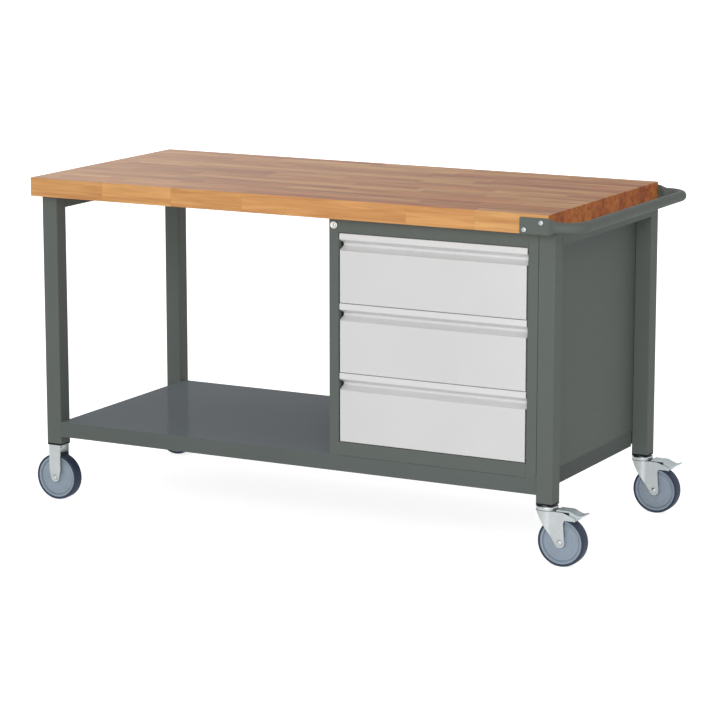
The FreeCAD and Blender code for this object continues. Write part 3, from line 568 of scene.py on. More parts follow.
facing = axes_of(tree, where["Normal"])
long_edge = math_node(tree, "ABSOLUTE", facing["Y"])
end_face = spread(tree, math_node(tree, "ABSOLUTE", facing["X"]), 0.0, 1.0, 0.6, 0.9)
# Painted sheen on faces that look up, stronger towards the left end.
sheen_towards_left = spread(tree, along, 1.0, 0.0, SHEEN_STRONGEST_X, SHEEN_GONE_X)
painted_top_sheen = spread(tree, facing["Z"], 0.0, spread(tree, sheen_towards_left, 0.30, 0.45), 0.6, 0.9)

calm = math_node(tree, "MULTIPLY", spread(tree, long_edge, 1.0, 0.3), spread(tree, end_face, 1.0, 0.5))
fine_streaks = spread(tree, fibre, -0.2, 0.2, 0.3, 0.7)
broad_streaks = spread(tree, figure, -0.44, 0.44, 0.3, 0.7)
streaks = math_node(tree, "ADD", fine_streaks, broad_streaks)
own_tone = math_node(tree, "MULTIPLY", spread(tree, board_tone, 0.08, 0.76), calm)
even_tone = math_node(tree, "MULTIPLY", math_node(tree, "SUBTRACT", 1.0, calm), MIDDLE_TONE)
depth = math_node(tree, "MULTIPLY", streaks, spread(tree, long_edge, 1.0, 0.55))
for part in (own_tone, even_tone, spread(tree, fleck, 0.0, 0.12, 0.6, 0.75)):
    depth = math_node(tree, "ADD", depth, part)
wood = blend_colour(tree, "MIX", depth, given["Pale"], given["Deep"])
redness = math_node(tree, "MULTIPLY", spread(tree, board_red, 0.0, 1.0, 0.4, 1.0), calm)
wood = blend_colour(tree, "MULTIPLY", redness, wood, given["Heart"])
end_tone = blend_colour(tree, "MIX", board_tone, END_PALE, END_DEEP)
wood = blend_colour(tree, "MULTIPLY", end_face, wood, end_tone)
# Painted sheen: the top's colour is mixed towards the grey or paler sheen tone.
top_sheen_tone = blend_colour(tree, "MIX", sheen_towards_left, TOP_SHEEN_GREY, TOP_SHEEN_PALE)
wood = blend_colour(tree, "MIX", painted_top_sheen, wood, top_sheen_tone)
print("group", stave_group.name, "gets its grain")

# %% [markdown]
# ## Glue lines
# Between boards the glue shows as a hairline, darker and a touch lower than the wood. It lies where a
# counted place passes a whole number. The slab's long edges are cut along a row, so the rows' own
# lines are kept off them.

# %% Glue lines
ROW_GLUE = 0.012
END_GLUE = 0.0016
GLUE_STRENGTH = 0.45
GLUE_COLOUR = srgb(120, 84, 62)
SMOOTH_FIBRE = 0.70
ROUGH_FIBRE = 0.86


def seam(place, width):
    """One on the thin glue line where a counted place passes a whole number."""
    past = math_node(tree, "FRACT", place)
    off_middle = math_node(tree, "ABSOLUTE", math_node(tree, "SUBTRACT", past, 0.5))
    return spread(tree, off_middle, 0.0, 1.0, 0.5 - width, 0.5)


off_edge = math_node(tree, "SUBTRACT", 1.0, long_edge)
row_seam = math_node(tree, "MULTIPLY", seam(row_place, ROW_GLUE), off_edge)
glue = math_node(tree, "MAXIMUM", row_seam, seam(board_place, END_GLUE))
wood = blend_colour(tree, "MULTIPLY", math_node(tree, "MULTIPLY", glue, GLUE_STRENGTH), wood, GLUE_COLOUR)
put(tree, wood, result["Color"])
put(tree, spread(tree, fibre, SMOOTH_FIBRE, ROUGH_FIBRE, 0.3, 0.7), result["Roughness"])
put(tree, math_node(tree, "SUBTRACT", fibre, glue), result["Height"])
beech = finish(
    "beech_staves",
    stave_group,
    bump=0.20,
    Pale=srgb(229, 177, 112),
    Deep=srgb(166, 103, 53),
    Heart=srgb(240, 214, 202),
)
print("finish", beech.name)

# %% [markdown]
# ## Working on the solids
# Most pieces already have their shape as CAD solids, but a solid's edges are razor sharp, and real
# sheet steel is bent round a small radius. A copy of the solid is merged into clean faces, its folds
# are rounded with a bevel, and the other edges are eased a little. The bends are found by measure: an
# edge between two wide faces is a fold, and an edge of a face only as wide as the sheet is a cut edge.

# %% Shape helpers
SHARP = math.radians(30)
SMOOTH_BELOW = math.radians(50)
MERGE_DISTANCE = 1e-6
FLAT_ANGLE = 0.008
WIDEST_CUT_EDGE = 0.0042
FOLD_STEPS = 4
EASE_STEPS = 3

node_body = {}
for body, members in frame["record"]["behaviour"]["bodies"].items():
    for node in members:
        node_body[node] = body


def solid_copy(node):
    """Clean copy of a CAD node: its loose triangles merged and its flat faces made whole."""
    shape = bmesh.new()
    shape.from_mesh(frame["nodes"][node].data)
    bmesh.ops.remove_doubles(shape, verts=shape.verts, dist=MERGE_DISTANCE)
    bmesh.ops.dissolve_limit(shape, angle_limit=FLAT_ANGLE, verts=shape.verts, edges=shape.edges)
    return shape


def sharp_edges(shape):
    return [edge for edge in shape.edges if edge.is_manifold and edge.calc_face_angle() > SHARP]


def face_width(face):
    """Width of a long face; a face that is only the sheet's cut edge is as wide as the sheet."""
    return 2 * face.calc_area() / sum(edge.calc_length() for edge in face.edges)


def is_fold(edge):
    """True for an edge between two faces that are both wider than the sheet is thick."""
    return min(face_width(face) for face in edge.link_faces) > WIDEST_CUT_EDGE


def round_edges(shape, edges, radius, segments):
    """Replace edges by round bevels."""
    if edges:
        bmesh.ops.bevel(
            shape,
            geom=edges,
            offset=radius,
            segments=segments,
            profile=0.5,
            affect="EDGES",
            clamp_overlap=True,
        )


def round_folds(shape, outside, inside):
    """Round the bends of folded sheet and leave its cut edges crisp."""
    for radius, bulging in ((outside, True), (inside, False)):
        bends = [edge for edge in sharp_edges(shape) if edge.is_convex == bulging and is_fold(edge)]
        round_edges(shape, bends, radius, FOLD_STEPS)


def shaded_mesh(name, shape):
    """Mesh with smooth curves, flat faces that stay flat, and sharp edges kept."""
    mesh = bpy.data.meshes.new(name)
    shape.normal_update()
    shape.to_mesh(mesh)
    shape.free()
    mesh.shade_smooth()
    mesh.set_sharp_from_angle(angle=SMOOTH_BELOW)
    holder = bpy.data.objects.new(name, mesh)
    bpy.context.scene.collection.objects.link(holder)
    holder.modifiers.new("even_normals", "WEIGHTED_NORMAL").keep_sharp = True
    graph = bpy.context.evaluated_depsgraph_get()
    result = bpy.data.meshes.new_from_object(holder.evaluated_get(graph))
    bpy.data.objects.remove(holder)
    bpy.data.meshes.remove(mesh)
    return result


def place_piece(name, mesh, material, nodes):
    """Put a finished mesh in the scene in the place of its CAD nodes, on their body."""
    mesh.materials.clear()
    mesh.materials.append(material)
    piece = bpy.data.objects.new(name, mesh)
    bpy.context.scene.collection.objects.link(piece)
    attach(piece, node_body[nodes[0]])
    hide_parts(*nodes)
    return piece


def dress(node, material, folds=None, ease=0.0):
    """A CAD node with its folds rounded, its other sharp edges eased, and its finish on."""
    shape = solid_copy(node)
    if folds:
        round_folds(shape, *folds)
    if ease:
        round_edges(shape, sharp_edges(shape), ease, EASE_STEPS)
    name = node + "_piece"
    return place_piece(name, shaded_mesh(name, shape), material, [node])


# %% [markdown]
# ## Worktop
# The slab's edges are only broken by sanding, about 2 mm round, so that they don't cut a forearm. A
# block with bevelled edges is all the shape that it has; the staves are in its finish.

# %% Worktop
EASED_EDGE = 0.0022
low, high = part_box("worktop")
slab = bmesh.new()
bmesh.ops.create_cube(slab, size=1.0)
for vertex in slab.verts:
    vertex.co = Vector([low[i] + (vertex.co[i] + 0.5) * (high[i] - low[i]) for i in range(3)])
round_edges(slab, slab.edges[:], EASED_EDGE, FOLD_STEPS)
place_piece("worktop_slab", shaded_mesh("worktop_slab", slab), beech, ["worktop"])
print("worktop", [round(side, 3) for side in high - low])

# %% [markdown]
# ## Steel frame and cabinet
# Legs and cross rails are square tube, the cabinet is folded sheet, all powder coated. The tubes keep
# the rounded corners of their solids. On the folded pieces the bends are rounded a little more than
# the sheet's thickness, which is what a press brake leaves.

# %% Frame and cabinet
SIDE_FOLDS = (0.0025, 0.001)
RAIL_FOLDS = (0.002, 0.0008)
CUT_EASE = 0.0003
PLUG_EASE = 0.0006

for corner in ("front_left", "front_right", "rear_left", "rear_right"):
    dress("leg_" + corner, frame_coat)
for end in ("left", "right"):
    dress("cross_rail_" + end, frame_coat)
    dress("cabinet_side_" + end, cabinet_coat, folds=SIDE_FOLDS)
for rail in ("cabinet_top_rail", "cabinet_bottom_rail"):
    dress(rail, cabinet_coat, folds=RAIL_FOLDS)
dress("cabinet_back", cabinet_coat, ease=CUT_EASE)
dress("leg_plugs", black_cap, ease=PLUG_EASE)
print("frame pieces placed")

# %% [markdown]
# ## Shelf
# The shelf is one folded sheet that is welded between the legs. Its front lip ends at the round corners
# of the tubes, and a thin bead of weld fills the gap at each end. The sheet is the smoothest painted
# piece, but with hardly any gloss, so a low view of it mirrors the rear leg only softly. Instead its
# upward faces are mixed towards a pale blue, partly dust and partly a painted reflection.

# %% Shelf
SHELF_FOLDS = (0.003, 0.0015)
BEAD_RADIUS = 0.0014
BEAD_SIDES = 16

low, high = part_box("shelf_tray")
shelf = solid_copy("shelf_tray")
round_folds(shelf, *SHELF_FOLDS)
for x in (low.x, high.x):
    bead = bmesh.ops.create_cone(
        shelf,
        cap_ends=True,
        segments=BEAD_SIDES,
        radius1=BEAD_RADIUS,
        radius2=BEAD_RADIUS,
        depth=high.z - low.z,
    )
    bead_middle = Vector((x, low.y + BEAD_RADIUS, (low.z + high.z) / 2))
    bmesh.ops.translate(shelf, verts=bead["verts"], vec=bead_middle)
shelf_mesh = shaded_mesh("shelf_tray_piece", shelf)
place_piece("shelf_tray_piece", shelf_mesh, shelf_coat, ["shelf_tray"])
print("shelf", [round(side, 3) for side in high - low])

# %% [markdown]
# ## Drawers
# A drawer has a flat folded front, a bent strip above it whose deep channel takes the fingers, and an
# open steel box behind. The strip's bends are wider than the front's. Its coat is painted a touch
# lighter than the front's, which lifts the shade in its channel, so the channel shows in soft bands.

# %% Drawers
FRONT_FOLDS = (0.0014, 0.0006)
GRIP_FOLDS = (0.0020, 0.0018)
SLIDE_FOLDS = (0.0012, 0.0006)
POST_FOLDS = (0.0014, 0.0006)

for name in ("top", "middle", "bottom"):
    dress("drawer_front_" + name, drawer_coat, folds=FRONT_FOLDS)
    dress("drawer_grip_" + name, lightened_grip_coat, folds=GRIP_FOLDS)
    dress("drawer_box_" + name, box_coat, ease=CUT_EASE)
    for member in ("drawer_slides_", "middle_slides_"):
        dress(member + name, slide_plate, folds=SLIDE_FOLDS)
dress("cabinet_slides", slide_plate, folds=SLIDE_FOLDS)
dress("slide_posts", slide_plate, folds=POST_FOLDS)
print("drawers placed")

# %% [markdown]
# ## Push handle
# The handle is one steel tube, bent at two corners, with its ends pressed flat and screwed to the
# worktop's edges. A curve with a bevel gives a round tube only, so the tube is a skin over a row of
# rings: each ring is two half circles joined by straight sides, thin and tall at the pressed ends,
# a true circle along the grip, and something between in the taper.

# %% Push handle
TUBE_RADIUS = 0.0135
PRESSED_HALF = 0.0022
PLATE_LENGTH = 0.075
TAPER_LENGTH = 0.024
BEND_RADIUS = 0.050
HALF_RING = 17
TAPER_STEPS = 10
BEND_STEPS = 20


def smooth_step(share):
    """Share from 0 to 1 that starts and ends gently."""
    return share * share * (3 - 2 * share)


low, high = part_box("push_handle")
pressed_height = (high.z - low.z) / 2
tube_z = (high.z + low.z) / 2
tube_x = high.x - TUBE_RADIUS
tube_y = high.y - TUBE_RADIUS
corner_x = tube_x - BEND_RADIUS

half_route = [(low.x, 0.0, 0.0), (low.x + PLATE_LENGTH, 0.0, 0.0)]
for step in range(1, TAPER_STEPS + 1):
    share = step / TAPER_STEPS
    half_route.append((low.x + PLATE_LENGTH + TAPER_LENGTH * share, 0.0, smooth_step(share)))
for step in range(BEND_STEPS + 1):
    half_route.append((corner_x, math.pi / 2 * step / BEND_STEPS, 1.0))

rings = []
for x, turn, roundness in half_route:
    ring_x = x + BEND_RADIUS * math.sin(turn)
    ring_y = -tube_y + BEND_RADIUS * (1 - math.cos(turn))
    middle = Vector((ring_x, ring_y, tube_z))
    sideways = Vector((math.sin(turn), -math.cos(turn), 0.0))
    half_depth = PRESSED_HALF + (TUBE_RADIUS - PRESSED_HALF) * roundness
    half_height = pressed_height + (TUBE_RADIUS - pressed_height) * roundness
    ring = []
    for pole in (1, -1):
        for step in range(HALF_RING):
            angle = math.pi * step / (HALF_RING - 1)
            lift = pole * (half_height - half_depth + half_depth * math.sin(angle))
            swing = pole * half_depth * math.cos(angle)
            ring.append(middle + sideways * swing + Vector((0.0, 0.0, lift)))
    rings.append(ring)
rear_rings = [[Vector((point.x, -point.y, point.z)) for point in ring] for ring in reversed(rings)]

tube = bmesh.new()
skin = [[tube.verts.new(point) for point in ring] for ring in rings + rear_rings]
for ring, following in zip(skin, skin[1:]):
    for step in range(len(ring)):
        after = (step + 1) % len(ring)
        tube.faces.new((ring[step], ring[after], following[after], following[step]))
tube.faces.new(skin[0])
tube.faces.new(skin[-1])
bmesh.ops.remove_doubles(tube, verts=tube.verts, dist=MERGE_DISTANCE)
bmesh.ops.dissolve_degenerate(tube, edges=tube.edges, dist=MERGE_DISTANCE)
bmesh.ops.recalc_face_normals(tube, faces=tube.faces)
tube_mesh = shaded_mesh("push_handle_tube", tube)
place_piece("push_handle_tube", tube_mesh, frame_coat, ["push_handle"])
print("handle rings", len(skin))

# %% [markdown]
# ## Turned pieces
# Tyres, wheel centres, swivel races and the lock's rim are round about one axis. The spin operator
# can turn a profile too, but rings joined in a loop keep the seam closed without any merging. The
# corners of each profile are rounded first, because they catch the light.

# %% Turning helpers
CORNER_SHARE = 0.48
CORNER_STEPS = 5
CRISP = 0.0003


def rounded_profile(corners, steps=CORNER_STEPS):
    """Closed outline whose corners, each a radius, height and rounding, become short curves."""
    points = [Vector((radius, height)) for radius, height, rounding in corners]
    outline = []
    for place, (radius, height, rounding) in enumerate(corners):
        middle = points[place]
        before = points[place - 1] - middle
        after = points[(place + 1) % len(points)] - middle
        start = middle + before.normalized() * min(rounding, before.length * CORNER_SHARE)
        end = middle + after.normalized() * min(rounding, after.length * CORNER_SHARE)
        for step in range(steps + 1):
            share = step / steps
            outline.append(start.lerp(middle, share).lerp(middle.lerp(end, share), share))
    return outline


def turned(outline, middle, axis, steps):
    """Ring-shaped solid made by turning a closed outline of radius and height about an axis."""
    shape = bmesh.new()
    loops = []
    for step in range(steps):
        angle = 2 * math.pi * step / steps
        loop = []
        for radius, along in outline:
            first, second = radius * math.cos(angle), radius * math.sin(angle)
            offset = (first, along, second) if axis == "y" else (first, second, along)
            loop.append(shape.verts.new(middle + Vector(offset)))
        loops.append(loop)
    for step, loop in enumerate(loops):
        following = loops[(step + 1) % steps]
        for place in range(len(loop)):
            after = (place + 1) % len(loop)
            shape.faces.new((loop[place], loop[after], following[after], following[place]))
    bmesh.ops.recalc_face_normals(shape, faces=shape.faces)
    return shape


print("turning helpers ready")

# %% [markdown]
# ## Wheels
# A wheel is a grey moulded centre with a soft tyre on its rim. The centre has a raised outer ring, a
# groove, a dished web and a boss round the axle. The tyre is a band with round shoulders and a faint
# crown, and a shallow step where it meets the ring.

# %% Wheels
WHEEL_STEPS = 96
RIM_WIDTH = 0.0058
RIM_SET_BACK = 0.001
RIM_EASE = 0.0004
RIM_CHAMFER = 0.0008
RIM_LAND = 0.0010
RECESS = 0.004
BOSS_RADIUS = 0.015
BOSS_SLOPE = 0.001
BORE_RADIUS = 0.0051
WEB_RISE = 0.0010
HUB_STEPS = 4

# The web's steps from the boss outwards: distance inside the ring, height on the web, rounding.
WEB_STEPS = (
    (0.0125, WEB_RISE, 0.0010),
    (0.0115, 0.0, 0.0010),
    (0.0030, 0.0, 0.0010),
    (0.0022, -0.0017, 0.0006),
    (0.0008, -0.0017, 0.0005),
)

TYRE_STEP_HEIGHT = 0.0012
TYRE_STEP_REACH = 0.0010
TYRE_SHOULDER = 0.0045
TYRE_CROWN = 0.0006
CROWN_ROUND = 0.004
TYRE_STEPS = 6


def mirrored(corners):
    """The same corners on the wheel's other face, from the last to the first."""
    return [(radius, -height, rounding) for radius, height, rounding in reversed(corners)]


def centre_outline(radius, half_rim, half_boss):
    """Section of a wheel centre from its bore out to its rim, both faces."""
    web = half_rim - RECESS
    inner = radius - RIM_WIDTH
    face = [
        (BORE_RADIUS, half_boss, 0.0006),
        (BOSS_RADIUS - BOSS_SLOPE, half_boss, 0.0016),
        (BOSS_RADIUS, web + WEB_RISE, 0.0012),
    ]
    face += [(inner - inside, web + height, rounding) for inside, height, rounding in WEB_STEPS]
    face += [
        (inner, half_rim - RIM_EASE, 0.0012),
        (radius - RIM_CHAMFER, half_rim, 0.0006),
        (radius, half_rim - RIM_LAND, CRISP),
    ]
    return rounded_profile(face + mirrored(face), HUB_STEPS)


def tyre_outline(inner, radius, half):
    """Section of a tyre: a step at the ring, a round shoulder and a faint crown."""
    face = [
        (inner, half - TYRE_STEP_HEIGHT, 0.0004),
        (inner + TYRE_STEP_REACH, half, 0.0008),
        (radius - TYRE_CROWN, half, TYRE_SHOULDER),
    ]
    return rounded_profile(face + [(radius, 0.0, CROWN_ROUND)] + mirrored(face), TYRE_STEPS)


for kind in ("fixed", "swivel"):
    for side in ("front", "rear"):
        hub_node = kind + "_hub_" + side
        tyre_node = kind + "_tyre_" + side
        hub_low, hub_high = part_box(hub_node)
        tyre_low, tyre_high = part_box(tyre_node)
        middle = (tyre_low + tyre_high) / 2
        hub_radius = (hub_high.x - hub_low.x) / 2
        tyre_radius = (tyre_high.x - tyre_low.x) / 2
        tyre_half = (tyre_high.y - tyre_low.y) / 2
        boss_half = (hub_high.y - hub_low.y) / 2
        outline = centre_outline(hub_radius, tyre_half - RIM_SET_BACK, boss_half)
        hub = shaded_mesh(hub_node, turned(outline, middle, "y", WHEEL_STEPS))
        place_piece(hub_node + "_turned", hub, wheel_grey, [hub_node])
        outline = tyre_outline(hub_radius, tyre_radius, tyre_half)
        tyre = shaded_mesh(tyre_node, turned(outline, middle, "y", WHEEL_STEPS))
        place_piece(tyre_node + "_turned", tyre, rubber, [tyre_node])
print("wheels 4, tyre radius", round(tyre_radius, 4))

# %% [markdown]
# ## Forks, races and pedals
# The forks and pedals are pressed from thick sheet and then plated, so their edges are well rounded.
# A pedal is trodden on, and its plating is cloudier than the fork's. The swivel race is a turned cup
# between the leg and the fork.

# %% Forks, races and pedals
FORK_EASE = 0.0008
PEDAL_EASE = 0.0007
RACE_STEPS = 72
RACE_NECK = 0.021
RACE_RIM = 0.0095
RACE_BORE = 0.0064
RACE_SHOULDER = 0.0015

for side in ("front", "rear"):
    dress("fixed_fork_" + side, plated, ease=FORK_EASE)
    dress("swivel_fork_" + side, plated, ease=FORK_EASE)
    dress("brake_pedal_" + side, cloudy_plate, ease=PEDAL_EASE)
    node = "swivel_race_" + side
    low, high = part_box(node)
    middle = Vector(((low.x + high.x) / 2, (low.y + high.y) / 2, low.z))
    radius = (high.x - low.x) / 2
    height = high.z - low.z
    outline = rounded_profile([
        (RACE_BORE, 0.0, CRISP),
        (radius, 0.0, 0.0018),
        (radius, RACE_RIM, 0.0024),
        (RACE_NECK, height - RACE_SHOULDER, 0.002),
        (RACE_NECK, height, CRISP),
        (RACE_BORE, height, CRISP),
    ])
    race = shaded_mesh(node, turned(outline, middle, "z", RACE_STEPS))
    place_piece(node + "_turned", race, plated, [node])
print("casters dressed")

# %% [markdown]
# ## Lock
# A small cam lock sits in the left stile, level with the top rail: a bright round rim with a turning
# plug and its keyhole. The rim is turned with a rounded lip. The plug keeps its solid, keyhole and
# crank and all, with its edges eased.

# %% Lock
LOCK_STEPS = 64
LOCK_BORE = 0.00605
LOCK_BORE_EASE = 0.0006
LOCK_LIP = 0.0012
LOCK_RIM_DEPTH = 0.0025
LOCK_RIM_REACH = 0.0015
PLUG_EDGE = 0.0002

low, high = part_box("lock_housing")
middle = Vector(((low.x + high.x) / 2, low.y, (low.z + high.z) / 2))
rim_radius = (high.x - low.x) / 2
body_radius = rim_radius - LOCK_RIM_REACH
length = high.y - low.y
outline = rounded_profile([
    (LOCK_BORE, LOCK_BORE_EASE, CRISP),
    (LOCK_BORE + LOCK_LIP, 0.0, 0.0008),
    (rim_radius - LOCK_LIP, 0.0, 0.0016),
    (rim_radius, LOCK_RIM_DEPTH, 0.0002),
    (body_radius, LOCK_RIM_DEPTH, 0.0002),
    (body_radius, length, 0.0006),
    (LOCK_BORE, length, CRISP),
])
rim = shaded_mesh("lock_housing", turned(outline, middle, "y", LOCK_STEPS))
place_piece("lock_housing_turned", rim, chrome, ["lock_housing"])
dress("lock_plug", chrome, ease=PLUG_EDGE)
dress("lock_bar", plated, ease=CUT_EASE)
print("lock rim radius", round(rim_radius, 4))

# %% [markdown]
# ## Screws, bolts and nuts
# Fasteners repeat, so one Geometry Nodes tree makes them all: a head built up from a cylinder by
# extruding and shrinking its top, a socket for the round ones, and a shank. The tree puts a fastener
# on every point of a small point mesh and turns it along the point's facing attribute. Its sizes are
# named inputs, so the same tree gives button-head screws, hexagon bolts and axle nuts.

# %% Fastener tree
SHANK_SIDES = 20
TIP_SHRINK = 0.8
WALL_SHARE = 0.5

# Each step of a head's top: rise as a share of the head's depth, and how much the top shrinks.
DOME_STEPS = ((0.3, 0.9), (0.2, 0.8))
SOCKET_STEPS = ((0.01, 0.62), (-0.6, 0.9))


def fastener_tree():
    """Node tree that puts a headed fastener on each point of the mesh that it is given."""
    tree = bpy.data.node_groups.new("fasteners", "GeometryNodeTree")
    tree.interface.new_socket("Geometry", in_out="INPUT", socket_type="NodeSocketGeometry")
    for label, kind in (
        ("Head Radius", "Float"),
        ("Head Depth", "Float"),
        ("Head Sides", "Int"),
        ("Socket", "Bool"),
        ("Shank Radius", "Float"),
        ("Shank Length", "Float"),
        ("Finish", "Material"),
    ):
        tree.interface.new_socket(label, in_out="INPUT", socket_type="NodeSocket" + kind)
    tree.interface.new_socket("Geometry", in_out="OUTPUT", socket_type="NodeSocketGeometry")
    given = tree.nodes.new("NodeGroupInput").outputs
    result = tree.nodes.new("NodeGroupOutput").inputs

    def sized(value, factor):
        return math_node(tree, "MULTIPLY", value, factor)

    def lifted(geometry, height):
        """Geometry moved along the fastener's axis."""
        place = new_node(tree, "ShaderNodeCombineXYZ", {"Z": height})
        inputs = {"Geometry": geometry, "Translation": place.outputs[0]}
        return new_node(tree, "GeometryNodeTransform", inputs).outputs["Geometry"]

    def raised(geometry, top, height, shrink):
        """Geometry with its top pushed up or down and shrunk, and the new top."""
        inputs = {"Mesh": geometry, "Selection": top, "Offset Scale": height}
        pushed = new_node(tree, "GeometryNodeExtrudeMesh", inputs).outputs
        inputs = {"Geometry": pushed["Mesh"], "Selection": pushed["Top"], "Scale": shrink}
        return new_node(tree, "GeometryNodeScaleElements", inputs).outputs["Geometry"], pushed["Top"]

    depth = given["Head Depth"]
    inputs = {"Vertices": given["Head Sides"], "Radius": given["Head Radius"]}
    inputs["Depth"] = sized(depth, WALL_SHARE)
    disc = new_node(tree, "GeometryNodeMeshCylinder", inputs).outputs
    head = lifted(disc["Mesh"], sized(depth, WALL_SHARE / 2))
    top = disc["Top"]
    for rise, shrink in DOME_STEPS:
        head, top = raised(head, top, sized(depth, rise), shrink)
    cup = head
    for rise, shrink in SOCKET_STEPS:
        cup, top = raised(cup, top, sized(depth, rise), shrink)
    inputs = {"Switch": given["Socket"], "False": head, "True": cup}
    choice = new_node(tree, "GeometryNodeSwitch", inputs, input_type="GEOMETRY")

    length = given["Shank Length"]
    inputs = {"Vertices": SHANK_SIDES, "Radius": given["Shank Radius"], "Depth": length}
    rod = new_node(tree, "GeometryNodeMeshCylinder", inputs).outputs
    shank = lifted(rod["Mesh"], sized(length, -0.5))
    inputs = {"Geometry": shank, "Selection": rod["Bottom"], "Scale": TIP_SHRINK}
    tip = new_node(tree, "GeometryNodeScaleElements", inputs)
    whole = new_node(tree, "GeometryNodeJoinGeometry", {0: choice.outputs[0]})
    put(tree, tip.outputs["Geometry"], whole.inputs[0])

    facing = new_node(
        tree, "GeometryNodeInputNamedAttribute", {"Name": "facing"}, data_type="FLOAT_VECTOR"
    )
    inputs = {"Vector": facing.outputs["Attribute"]}
    turn = new_node(tree, "FunctionNodeAlignRotationToVector", inputs, axis="Z")
    inputs = {"Points": given["Geometry"], "Instance": whole.outputs[0]}
    inputs["Rotation"] = turn.outputs["Rotation"]
    copies = new_node(tree, "GeometryNodeInstanceOnPoints", inputs)
    real = new_node(tree, "GeometryNodeRealizeInstances", {"Geometry": copies.outputs["Instances"]})
    inputs = {"Geometry": real.outputs["Geometry"], "Material": given["Finish"]}
    coat = new_node(tree, "GeometryNodeSetMaterial", inputs)
    put(tree, coat.outputs["Geometry"], result["Geometry"])
    return tree


fasteners = fastener_tree()
print("fastener tree nodes", len(fasteners.nodes))

# %% [markdown]
# ## Placing the fasteners
# The places are measured from the solids: a group of screws is one node, and its separate islands
# give one box each. A box's long side is the screw's axis, and the head is on the side that looks
# away from what the screw clamps. Every batch of one size runs through the tree once, and the batches
# of a node are joined into one plain mesh.

# %% Fastener helpers
HEAD_SHARP = math.radians(35)


def island_boxes(node):
    """Lowest and highest corner of each separate solid in a node."""
    shape = solid_copy(node)
    seen = set()
    boxes = []
    for first in shape.verts:
        if first in seen:
            continue
        island = {first}
        border = [first]
        while border:
            vertex = border.pop()
            for edge in vertex.link_edges:
                other = edge.other_vert(vertex)
                if other not in island:
                    island.add(other)
                    border.append(other)
        seen |= island
        low = Vector([min(vertex.co[i] for vertex in island) for i in range(3)])
        high = Vector([max(vertex.co[i] for vertex in island) for i in range(3)])
        boxes.append((low, high))
    shape.free()
    return boxes


def seat_on(box, axis, head_depth, head_high):
    """Where a screw's head sits and which way it looks, from the box round the screw."""
    low, high = box
    facing = Vector((0.0, 0.0, 0.0))
    facing[axis] = 1.0 if head_high else -1.0
    seat = (low + high) / 2
    seat[axis] = high[axis] - head_depth if head_high else low[axis] + head_depth
    return seat, facing


def fastener_batch(seats, sizes, material):
    """Plain mesh of one batch of fasteners from the node tree."""
    points = bpy.data.meshes.new("seats")
    points.from_pydata([seat for seat, facing in seats], [], [])
    directions = points.attributes.new("facing", "FLOAT_VECTOR", "POINT")
    for place, (seat, facing) in enumerate(seats):
        directions.data[place].vector = facing
    holder = bpy.data.objects.new("seats", points)
    bpy.context.scene.collection.objects.link(holder)
    modifier = holder.modifiers.new("fasteners", "NODES")
    modifier.node_group = fasteners
    sockets = fasteners.interface.items_tree
    keys = {socket.name: socket.identifier for socket in sockets if socket.in_out == "INPUT"}
    for label, value in sizes.items():
        modifier[keys[label]] = value
    modifier[keys["Finish"]] = material
    graph = bpy.context.evaluated_depsgraph_get()
    mesh = bpy.data.meshes.new_from_object(holder.evaluated_get(graph))
    bpy.data.objects.remove(holder)
    bpy.data.meshes.remove(points)
    return mesh


def place_fasteners(name, batches, material, nodes):
    """One piece made of several batches of fasteners, in the place of its nodes."""
    joined = bmesh.new()
    for seats, sizes in batches:
        batch = fastener_batch(seats, sizes, material)
        joined.from_mesh(batch)
        bpy.data.meshes.remove(batch)
    mesh = bpy.data.meshes.new(name)
    joined.to_mesh(mesh)
    joined.free()
    mesh.shade_smooth()
    mesh.set_sharp_from_angle(angle=HEAD_SHARP)
    place_piece(name, mesh, material, nodes)
    print(name, sum(len(seats) for seats, sizes in batches))


def sizes_of(box, axis, head_depth, shank_radius, sides, socket):
    """The tree's inputs for a fastener that fills a box; every one lies along Y or Z, so X is across."""
    low, high = box
    return {
        "Head Radius": (high.x - low.x) / 2,
        "Head Depth": head_depth,
        "Head Sides": sides,
        "Socket": socket,
        "Shank Radius": shank_radius,
        "Shank Length": high[axis] - low[axis] - head_depth,
    }


print("fastener helpers ready")

# %% Screws and bolts
ALONG_Y = 1
ALONG_Z = 2
SCREW_HEAD = 0.004
BOLT_HEAD = 0.008
HANDLE_SHANK = 0.004
WOOD_SHANK = 0.003
BOLT_SHANK = 0.006
HANDLE_SIDES = 40
SCREW_SIDES = 32
HEXAGON = 6

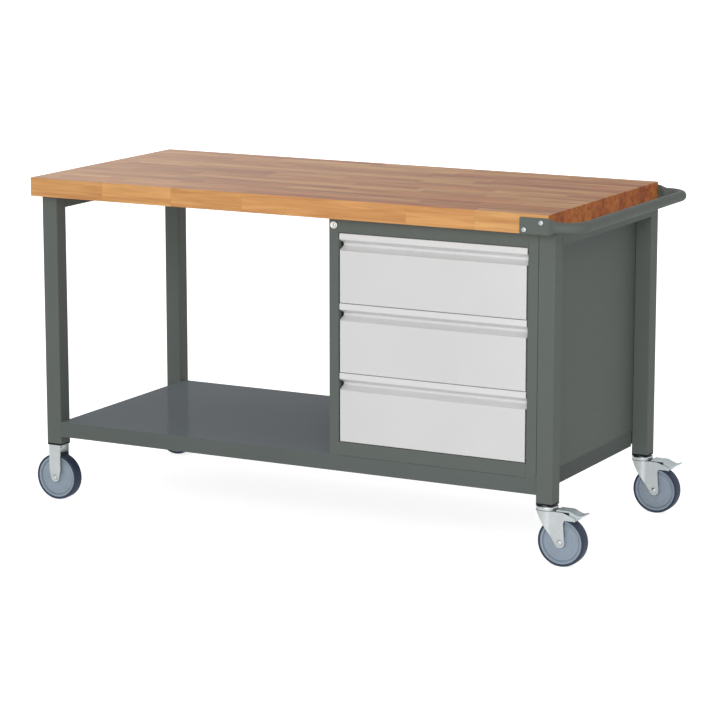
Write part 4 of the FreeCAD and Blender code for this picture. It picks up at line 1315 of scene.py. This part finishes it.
boxes = island_boxes("handle_screws")
seats = [seat_on(box, ALONG_Y, SCREW_HEAD, box[0].y > 0) for box in boxes]
sizes = sizes_of(boxes[0], ALONG_Y, SCREW_HEAD, HANDLE_SHANK, HANDLE_SIDES, True)
place_fasteners("handle_screw_set", [(seats, sizes)], plated, ["handle_screws"])

boxes = island_boxes("worktop_screws")
seats = [seat_on(box, ALONG_Z, SCREW_HEAD, False) for box in boxes]
sizes = sizes_of(boxes[0], ALONG_Z, SCREW_HEAD, WOOD_SHANK, SCREW_SIDES, True)
place_fasteners("worktop_screw_set", [(seats, sizes)], plated, ["worktop_screws"])

low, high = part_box("cabinet_screws")
half_way = (low.z + high.z) / 2
batches = []
for upper in (True, False):
    boxes = [box for box in island_boxes("cabinet_screws") if (box[0].z > half_way) == upper]
    seats = [seat_on(box, ALONG_Z, SCREW_HEAD, not upper) for box in boxes]
    batches.append((seats, sizes_of(boxes[0], ALONG_Z, SCREW_HEAD, WOOD_SHANK, SCREW_SIDES, True)))
place_fasteners("cabinet_screw_set", batches, plated, ["cabinet_screws"])

batches = []
for box in island_boxes("caster_bolts"):
    sizes = sizes_of(box, ALONG_Z, BOLT_HEAD, BOLT_SHANK, HEXAGON, False)
    batches.append(([seat_on(box, ALONG_Z, BOLT_HEAD, False)], sizes))
place_fasteners("caster_bolt_set", batches, plated, ["caster_bolts"])

# %% [markdown]
# ## Axles
# Each wheel runs on a bolt with a hexagon at both ends. Two fasteners of the same tree, back to back
# and each half the axle long, make it.

# %% Axles
NUT_DEPTH = 0.004
AXLE_SHANK = 0.005

for kind in ("fixed", "swivel"):
    for side in ("front", "rear"):
        node = kind + "_axle_" + side
        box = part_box(node)
        seats = [seat_on(box, ALONG_Y, NUT_DEPTH, head_high) for head_high in (False, True)]
        sizes = sizes_of(box, ALONG_Y, NUT_DEPTH, AXLE_SHANK, HEXAGON, False)
        sizes["Shank Length"] = (seats[1][0].y - seats[0][0].y) / 2
        place_fasteners(node + "_bolt", [(seats, sizes)], plated, [node])

# %% [markdown]
# ## Hand over
# The overall size of the visual model is measured and printed.

# %% Visual size
low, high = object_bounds()
print("visual size", [round(side, 4) for side in high - low])
